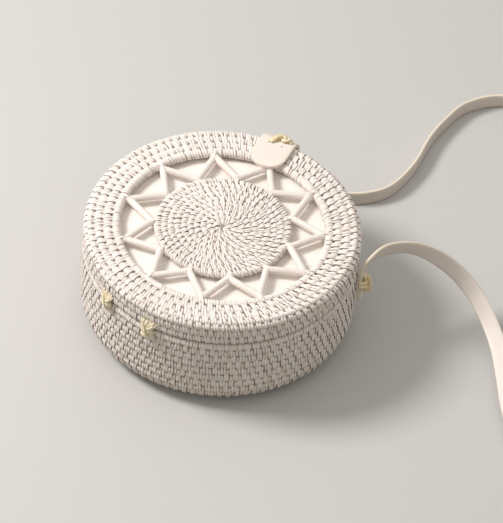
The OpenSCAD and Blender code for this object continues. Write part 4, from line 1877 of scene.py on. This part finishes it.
@dataclass
class ClosingTab:
    """The leather tab: laced to the lid, it bends over the rim and hangs down to a magnet.

    Attributes:
        bag: The bag's sizes.
        leather: The tab's material.
        lace: The lace's material.
        angle: The tab's direction, in degrees.
        width: Its width.
        end_in: Distance of its round end inside the opening's edge.
        drop: How far the flap hangs down.
        hang_r: Distance of the hanging flap's inner face from the axis.
        bend_r: Inner radius of the bend, which follows the rim.
        low: Height of the tab's lower face.
        hole_r: Distance of its holes from the axis.
        hole_side: Distance of its holes to each side.
        curl_at: Distance to the side at which its curl is given.
        runs: A band, a fold over it, a knot and a turn behind, each by its radius, its distance to the
            side and its height above the leather.
    """

    bag: BagSizes
    leather: bpy.types.Material
    lace: bpy.types.Material
    angle: float = 107.0
    width: float = 24.0
    end_in: float = 7.0
    drop: float = 37.0
    hang_r: float = 94.1
    bend_r: float = 10.5
    low: float = 78.2
    hole_r: float = 82.0
    hole_side: float = 4.7
    curl_at: float = 13.0
    runs: tuple[LaceRun, ...] = (
        LaceRun((
            (82.6, 4.6, 0.6), (85.0, 2.6, 1.3), (88.2, 0.6, 2.0), (91.0, -1.4, 2.2), (92.6, -3.4, 1.6),
            (92.8, -5.4, 0.4),
        ), 4.2, 1.8),
        LaceRun((
            (84.4, 2.2, 1.9), (87.0, 1.4, 2.7), (90.0, -0.6, 3.2), (92.0, -3.0, 2.6), (92.2, -5.4, 1.2),
            (91.2, -7.0, -0.2),
        ), 3.4, 1.6),
        LaceRun((
            (87.4, -2.4, 0.8), (86.6, -4.6, 1.7), (88.0, -6.4, 2.0), (90.0, -5.8, 2.2), (90.2, -3.8, 3.0),
            (88.6, -3.6, 3.2), (87.6, -5.0, 2.4),
        ), 2.8, 2.2),
        LaceRun((
            (91.6, 2.6, 0.0), (92.4, 0.2, 1.0), (92.8, -2.6, 1.4), (92.2, -6.2, 0.8), (89.6, -8.2, 0.8),
            (86.8, -8.0, 0.5),
        ), 2.6, 1.6),
    )  # fmt: skip

    @property
    def end_r(self) -> float:
        """Distance of its round end from the axis."""
        return self.bag.opening_r - self.end_in

    @property
    def flat_l(self) -> float:
        """Length of the part that lies on the lid."""
        return self.hang_r - self.bend_r - self.end_r

    @property
    def bend_l(self) -> float:
        """Length of the bend along the leather's inner face."""
        return self.bend_r * math.pi / 2

    @property
    def length(self) -> float:
        """Length of the whole tab along its inner face."""
        return self.flat_l + self.bend_l + self.drop - self.bend_r

    def half_width(self, along: float) -> float:
        """Gives the tab's half width at a distance from its round end."""
        r = self.width / 2
        near = min(along, self.length - along)
        return r if near > r else math.sqrt(max(r * r - (r - near) ** 2, 0.0))

    def place(self, out: np.ndarray, side: np.ndarray, z: np.ndarray) -> np.ndarray:
        """Turns radius, side and height to points of the frame."""
        c, s = math.cos(math.radians(self.angle)), math.sin(math.radians(self.angle))
        return np.column_stack([out * c - side * s, out * s + side * c, z])

    def strip(self) -> None:
        """Makes the tab's leather as one strip that bends where the flap turns."""
        thick, down = self.bag.leather_t, self.hole_r - self.end_r
        holes = ((down, -self.hole_side), (down, self.hole_side))
        piece, flat = LeatherCut("leather_tab", self.length, thick, self.half_width, holes, steps=56).build()
        x, y, t = flat.T
        turned = np.clip((x - self.flat_l) / self.bend_l, 0, 1) * math.pi / 2
        past = np.maximum(x - self.flat_l - self.bend_l, 0)
        r = self.end_r + np.minimum(x, self.flat_l) + (self.bend_r + t) * np.sin(turned)
        z = self.low - self.bend_r + (self.bend_r + t) * np.cos(turned) - past
        # The leather sags a little into the opening and its sides lift off the rim
        curl = (y / self.curl_at) ** 2
        r += 0.4 * curl * ease(past, 0, 10)
        z += np.where(x < self.flat_l, 0.25 * curl - 0.25 * ease(14 - x, 0, 14), 0)
        set_points(piece, self.place(r, y, z))
        fold = np.array([self.hang_r - self.bend_r, self.hang_r + thick])
        bend = self.place(fold, np.zeros(2), np.array([self.low + thick, self.low - self.bend_r]))
        finish_bent(piece, (Body.LID, Body.FLAP), bend, Slot.LEATHER, self.leather, "tab_base", "tab_flap")

    def knot(self) -> None:
        """Makes the lace on the tab."""
        outer = self.bend_r + self.bag.leather_t

        def at(out: float, side: float, up: float) -> np.ndarray:
            """Gives a point by its radius, side and height above the leather."""
            past = max(out - self.hang_r + self.bend_r, 0)
            z = self.low - self.bend_r + math.sqrt(outer**2 - past**2) + up
            return self.place(np.array([out]), np.array([side]), np.array([z]))[0]

        gathered = Gathered()
        for run in self.runs:
            run.add_to(gathered, at, np.array([0.0, 0.0, 1.0]))
        finish_piece(gathered.make("tab_lace"), Body.LID, Slot.LACE, self.lace, "tab_knot")

    def build(self) -> None:
        """Makes the tab and its lace."""
        self.strip()
        self.knot()


@dataclass
class HingeTies:
    """The two lace ties that the lid turns on.

    Attributes:
        bag: The bag's sizes.
        lace: The lace's material.
        angle: Angle between each tie and the middle of the hinge, in degrees.
        axis_y: Where the hinge's axis is.
        bend: How far from the seam a tie bends, up and down.
        lace_w: Width of a strand of lace.
        uprights: Places along the hinge of the strands across the seam.
        bands: Heights above the seam of the strands that bind them.
        over: A strand over the bands, and its tail.
        sizes: Size of the left tie and of the right one along the hinge and upwards, as shares.
    """

    bag: BagSizes
    lace: bpy.types.Material
    angle: float = 11.0
    axis_y: float = -94.6
    bend: float = 2.5
    lace_w: float = 1.15
    uprights: tuple[float, ...] = (-6.0, -4.3, -2.6, -0.9, 0.9, 2.6, 4.3, 6.0)
    bands: tuple[float, ...] = (-4.9, -3.3, -1.7, -0.1)
    over: tuple[LaceRun, ...] = (
        LaceRun((
            (-5.0, 2.4, 6.0), (-3.4, 3.5, 4.6), (-1.0, 4.7, 2.2), (0.8, 5.0, -0.8), (2.2, 4.5, -3.6),
            (2.8, 2.8, -6.0),
        ), 1.35, 1.15),
        LaceRun(((0.4, 3.4, 2.8), (2.4, 4.4, 4.0), (4.4, 3.8, 5.6), (5.6, 2.4, 6.9)), 1.3, 1.05),
    )  # fmt: skip
    sizes: tuple[tuple[float, float], tuple[float, float]] = ((0.68, 0.72), (0.74, 0.86))

    def upright(self, along: float, dice: np.random.Generator) -> LaceRun:
        """Gives a strand across the seam.

        Args:
            along: Its place along the hinge.
            dice: The source of small irregularities.

        Returns:
            Its run, each place by its distance along the hinge, off the wall and above the seam.
        """
        pull = along * (0.74 + 0.05 * dice.normal())
        top = 7.2 + 0.4 * dice.normal()
        places = [(along * 0.92, -1.2, -7.0), (along * 0.92, 0.7, -6.6), (along * 0.84, 1.8, -4.4)]
        places += [(pull, 2.5, -1.2), (pull, 2.6, 1.6), (along * 0.96, 2.1, 5.0)]
        places += [(along * 1.1, 0.9, top), (along * 1.1, -1.2, 7.4)]
        return LaceRun(places, self.lace_w, 1.1)

    def band(self, up: float, dice: np.random.Generator) -> LaceRun:
        """Gives a strand that binds those across the seam.

        Args:
            up: Its height above the seam.
            dice: The source of small irregularities.

        Returns:
            Its run, each place by its distance along the hinge, off the wall and above the seam.
        """
        reach = 5.2 + 0.3 * dice.normal()
        slant = 0.5 + 0.3 * dice.normal()
        swell = 3.5 + 0.15 * dice.normal()
        places = [(-reach - 0.5, 0.4, up - slant), (-reach, 2.2, up - slant)]
        places += [(-2.8, swell, up - slant / 2), (0.2, swell + 0.4, up), (3.0, swell, up + slant / 2)]
        places += [(reach, 2.2, up + slant), (reach + 0.5, 0.4, up + slant)]
        return LaceRun(places, self.lace_w, 1.0)

    def tie(self, side: int, name: str, *nodes: str) -> None:
        """Makes one tie: strands across the seam, bound by four bands and one strand over them.

        Args:
            side: -1 for the left tie, 1 for the right one.
            name: The piece's name.
            nodes: The CAD nodes that it stands for.
        """
        x0 = -self.axis_y * math.sin(math.radians(self.angle)) * side
        seam, wall_r = self.bag.seam_z, self.bag.wall_r
        dice = np.random.default_rng(50 + side)
        wide, high = self.sizes[side > 0]

        def at(along: float, out: float, up: float) -> np.ndarray:
            """Gives a point by its place along the hinge, off the wall, and above the seam."""
            x = x0 + along * wide
            return np.array([x, -math.sqrt(wall_r**2 - x * x) - out * 0.8, seam + up * high])

        runs = [self.upright(along, dice) for along in self.uprights]
        runs += [self.band(up, dice) for up in self.bands]
        gathered = Gathered()
        for run in (*runs, *self.over):
            run.add_to(gathered, at, np.array([x0 / wall_r, -1.0, 0.0]))
        bend = np.array([(x0, self.axis_y, seam + up) for up in (-self.bend, self.bend)])
        finish_bent(gathered.make(name), (Body.BASKET, Body.LID), bend, Slot.LACE, self.lace, *nodes)

    def build(self) -> None:
        """Makes both ties; the left one stands for the CAD's loops of body and lid."""
        self.tie(-1, "hinge_lace_left", "hinge_body_loops", "hinge_lid_loops")
        self.tie(1, "hinge_lace_right")


# Camera, light and floor


@dataclass
class Studio:
    """The camera at the photograph's angle, a soft key light, plain world light and a pale floor.

    Attributes:
        eye: The camera's place.
        aim: The point of the floor in the middle of its view.
        roll: The camera's roll, in degrees.
        focal_px: Focal length in pixels of the photograph.
        photo_px: Pixels along the photograph's long side.
        sensor: The sensor's length along that side.
        near: The nearest that the camera sees.
        far: The farthest that it sees.
        key_turn: Direction of the key light, in degrees.
        key_rise: Its height above the floor, in degrees.
        key_power: Its power in watts.
        key_size: Its diameter.
        key_far: Its distance from the bag.
        key_aim_z: Height of the point that it shines on.
        horizon: Strength of the soft light from the sides.
        zenith: Its strength from straight above.
        floor_size: The floor's length and width.
    """

    eye: Place = (1158.83, -1431.04, 1926.91)
    aim: Place = (-11.57, 47.58, 0.0)
    roll: float = 4.898
    focal_px: float = 4001.0
    photo_px: float = 523.0
    sensor: float = 36.0
    near: float = 50.0
    far: float = 50000.0
    key_turn: float = 212.8
    key_rise: float = 48.0
    key_power: float = 22.0
    key_size: float = 500.0
    key_far: float = 1600.0
    key_aim_z: float = 50.0
    horizon: float = 0.36
    zenith: float = 0.79
    floor_size: float = 8000.0

    def background_rays(self, tree: bpy.types.NodeTree) -> bpy.types.NodeSocket:
        """Tells the rays that show the background from those that light the bag.

        Args:
            tree: The node tree of the world or of the floor.

        Returns:
            A socket with 1 for rays from the camera, off gloss or through glass, and else 0.
        """
        rays = add_node(tree, "LightPath")
        shown = rays.outputs["Is Camera Ray"]
        for kind in ("Is Glossy Ray", "Is Transmission Ray"):
            both = {0: shown, 1: rays.outputs[kind]}
            shown = add_node(tree, "Math", both, operation="ADD", use_clamp=True).outputs[0]
        return shown

    def camera(self) -> None:
        """Makes the camera."""
        data = bpy.data.cameras.new("photo_camera")
        data.lens, data.sensor_width = self.focal_px / self.photo_px * self.sensor, self.sensor
        data.clip_start, data.clip_end = self.near * MM, self.far * MM
        camera = bpy.data.objects.new("photo_camera", data)
        bpy.context.scene.collection.objects.link(camera)
        eye, aim = Vector(self.eye) * MM, Vector(self.aim) * MM
        look = (aim - eye).to_track_quat("-Z", "Y").to_matrix()
        rolled = look @ Matrix.Rotation(math.radians(self.roll), 3, "Z")
        camera.matrix_world = Matrix.Translation(eye) @ rolled.to_4x4()
        bpy.context.scene.camera = camera

    def key_light(self) -> None:
        """Makes the key light."""
        data = bpy.data.lights.new("key", "AREA")
        data.shape, data.size, data.energy = "DISK", self.key_size * MM, self.key_power
        data.color = linear("#FFFBF8")[:3]
        key = bpy.data.objects.new("key", data)
        bpy.context.scene.collection.objects.link(key)
        turn, rise = math.radians(self.key_turn), math.radians(self.key_rise)
        away = Vector((math.cos(turn) * math.cos(rise), math.sin(turn) * math.cos(rise), math.sin(rise)))
        key.location = away * (self.key_far * MM) + Vector((0, 0, self.key_aim_z * MM))
        key.rotation_mode = "QUATERNION"
        key.rotation_quaternion = (-away).to_track_quat("-Z", "Y")

    def world_light(self) -> None:
        """Makes the world's light, which is brighter above, and its plain background."""
        world = bpy.data.worlds.new("studio")
        bpy.context.scene.world = world
        world.use_nodes = True
        tree = world.node_tree
        tree.nodes.clear()
        way = add_node(tree, "TexCoord").outputs["Generated"]
        height = add_node(tree, "SeparateXYZ", {0: way}).outputs[2]
        strength = add_node(tree, "MapRange", {0: height, 3: self.horizon, 4: self.zenith})
        soft = add_node(tree, "Background", {"Color": linear("#F3EFE9"), "Strength": strength})
        pale = add_node(tree, "Background", {"Color": linear("#ECECEA"), "Strength": 1.0})
        mixed = add_node(tree, "MixShader", {0: self.background_rays(tree), 1: soft, 2: pale})
        add_node(tree, "OutputWorld", {"Surface": mixed})

    def floor(self) -> None:
        """Makes the plain pale floor."""
        only()
        bpy.ops.mesh.primitive_plane_add(size=self.floor_size * MM, location=(0, 0, 0))
        floor = bpy.context.object
        floor.name = "studio_floor"
        # Matt painted board: even, with no gloss
        material = bpy.data.materials.new("matt_floor_board")
        material.use_nodes = True
        tree = material.node_tree
        tree.nodes.clear()
        colours = {0: self.background_rays(tree), 6: linear("#8E8B80"), 7: linear("#C8C8C6")}
        colour = add_node(tree, "Mix", colours, data_type="RGBA").outputs[2]
        shader = add_node(tree, "BsdfPrincipled", {"Base Color": colour, "Roughness": 0.9})
        add_node(tree, "OutputMaterial", {"Surface": shader})
        floor.data.materials.append(material)

    def build(self) -> None:
        """Makes the camera, lights and floor."""
        bpy.context.scene.view_settings.view_transform = "Standard"
        self.camera()
        self.key_light()
        self.world_light()
        self.floor()


def main() -> None:
    """Builds the studio, the strap and then every part of the bag."""
    logging.basicConfig(level=logging.INFO, format="%(name)s: %(message)s")
    Studio().build()
    cane = PaintedCane("painted_cane", "#F6F0EC", "#E9DED5", 0.62).make()
    # The sticks' hollow colour is the painted shade in their wraps' grooves
    stick = PaintedCane("wrapped_stick", "#F8F1EB", "#EBE0D7", 0.55, hollow="#6B4A33").make()
    cloth = LiningCloth("lining_cotton", "#FAF6F2", "#F0E8E1", 0.85).make()
    leather = Leather("strap_leather", "#F0E6DF", "#E9DED6", 0.5).make()
    lace = WaxedLace("waxed_lace", "#F9EDCE", "#CFB07A", 0.5).make()
    worn_lace = WaxedLace("worn_lace", "#FAF3DC", "#D3C79E", 0.55).make()
    steel = PlatedSteel("plated_steel", "#C9CBCD", "#AEB1B4", 0.3).make()
    ShoulderStrap(BAG, leather).build()
    Basket(BAG, cane).build()
    Lid(BAG, cane).build()
    OpenStar(BAG, stick, cane).build()
    Linings(BAG, cloth).build()
    StrapTies(BAG, leather, lace).build()
    ClosingTab(BAG, leather, lace).build()
    HingeTies(BAG, worn_lace).build()
    for node in ("flap_magnet", "wall_magnet"):
        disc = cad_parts[node]
        disc.data.materials.clear()
        disc.data.materials.append(steel)


if __name__ == "__main__":
    main()
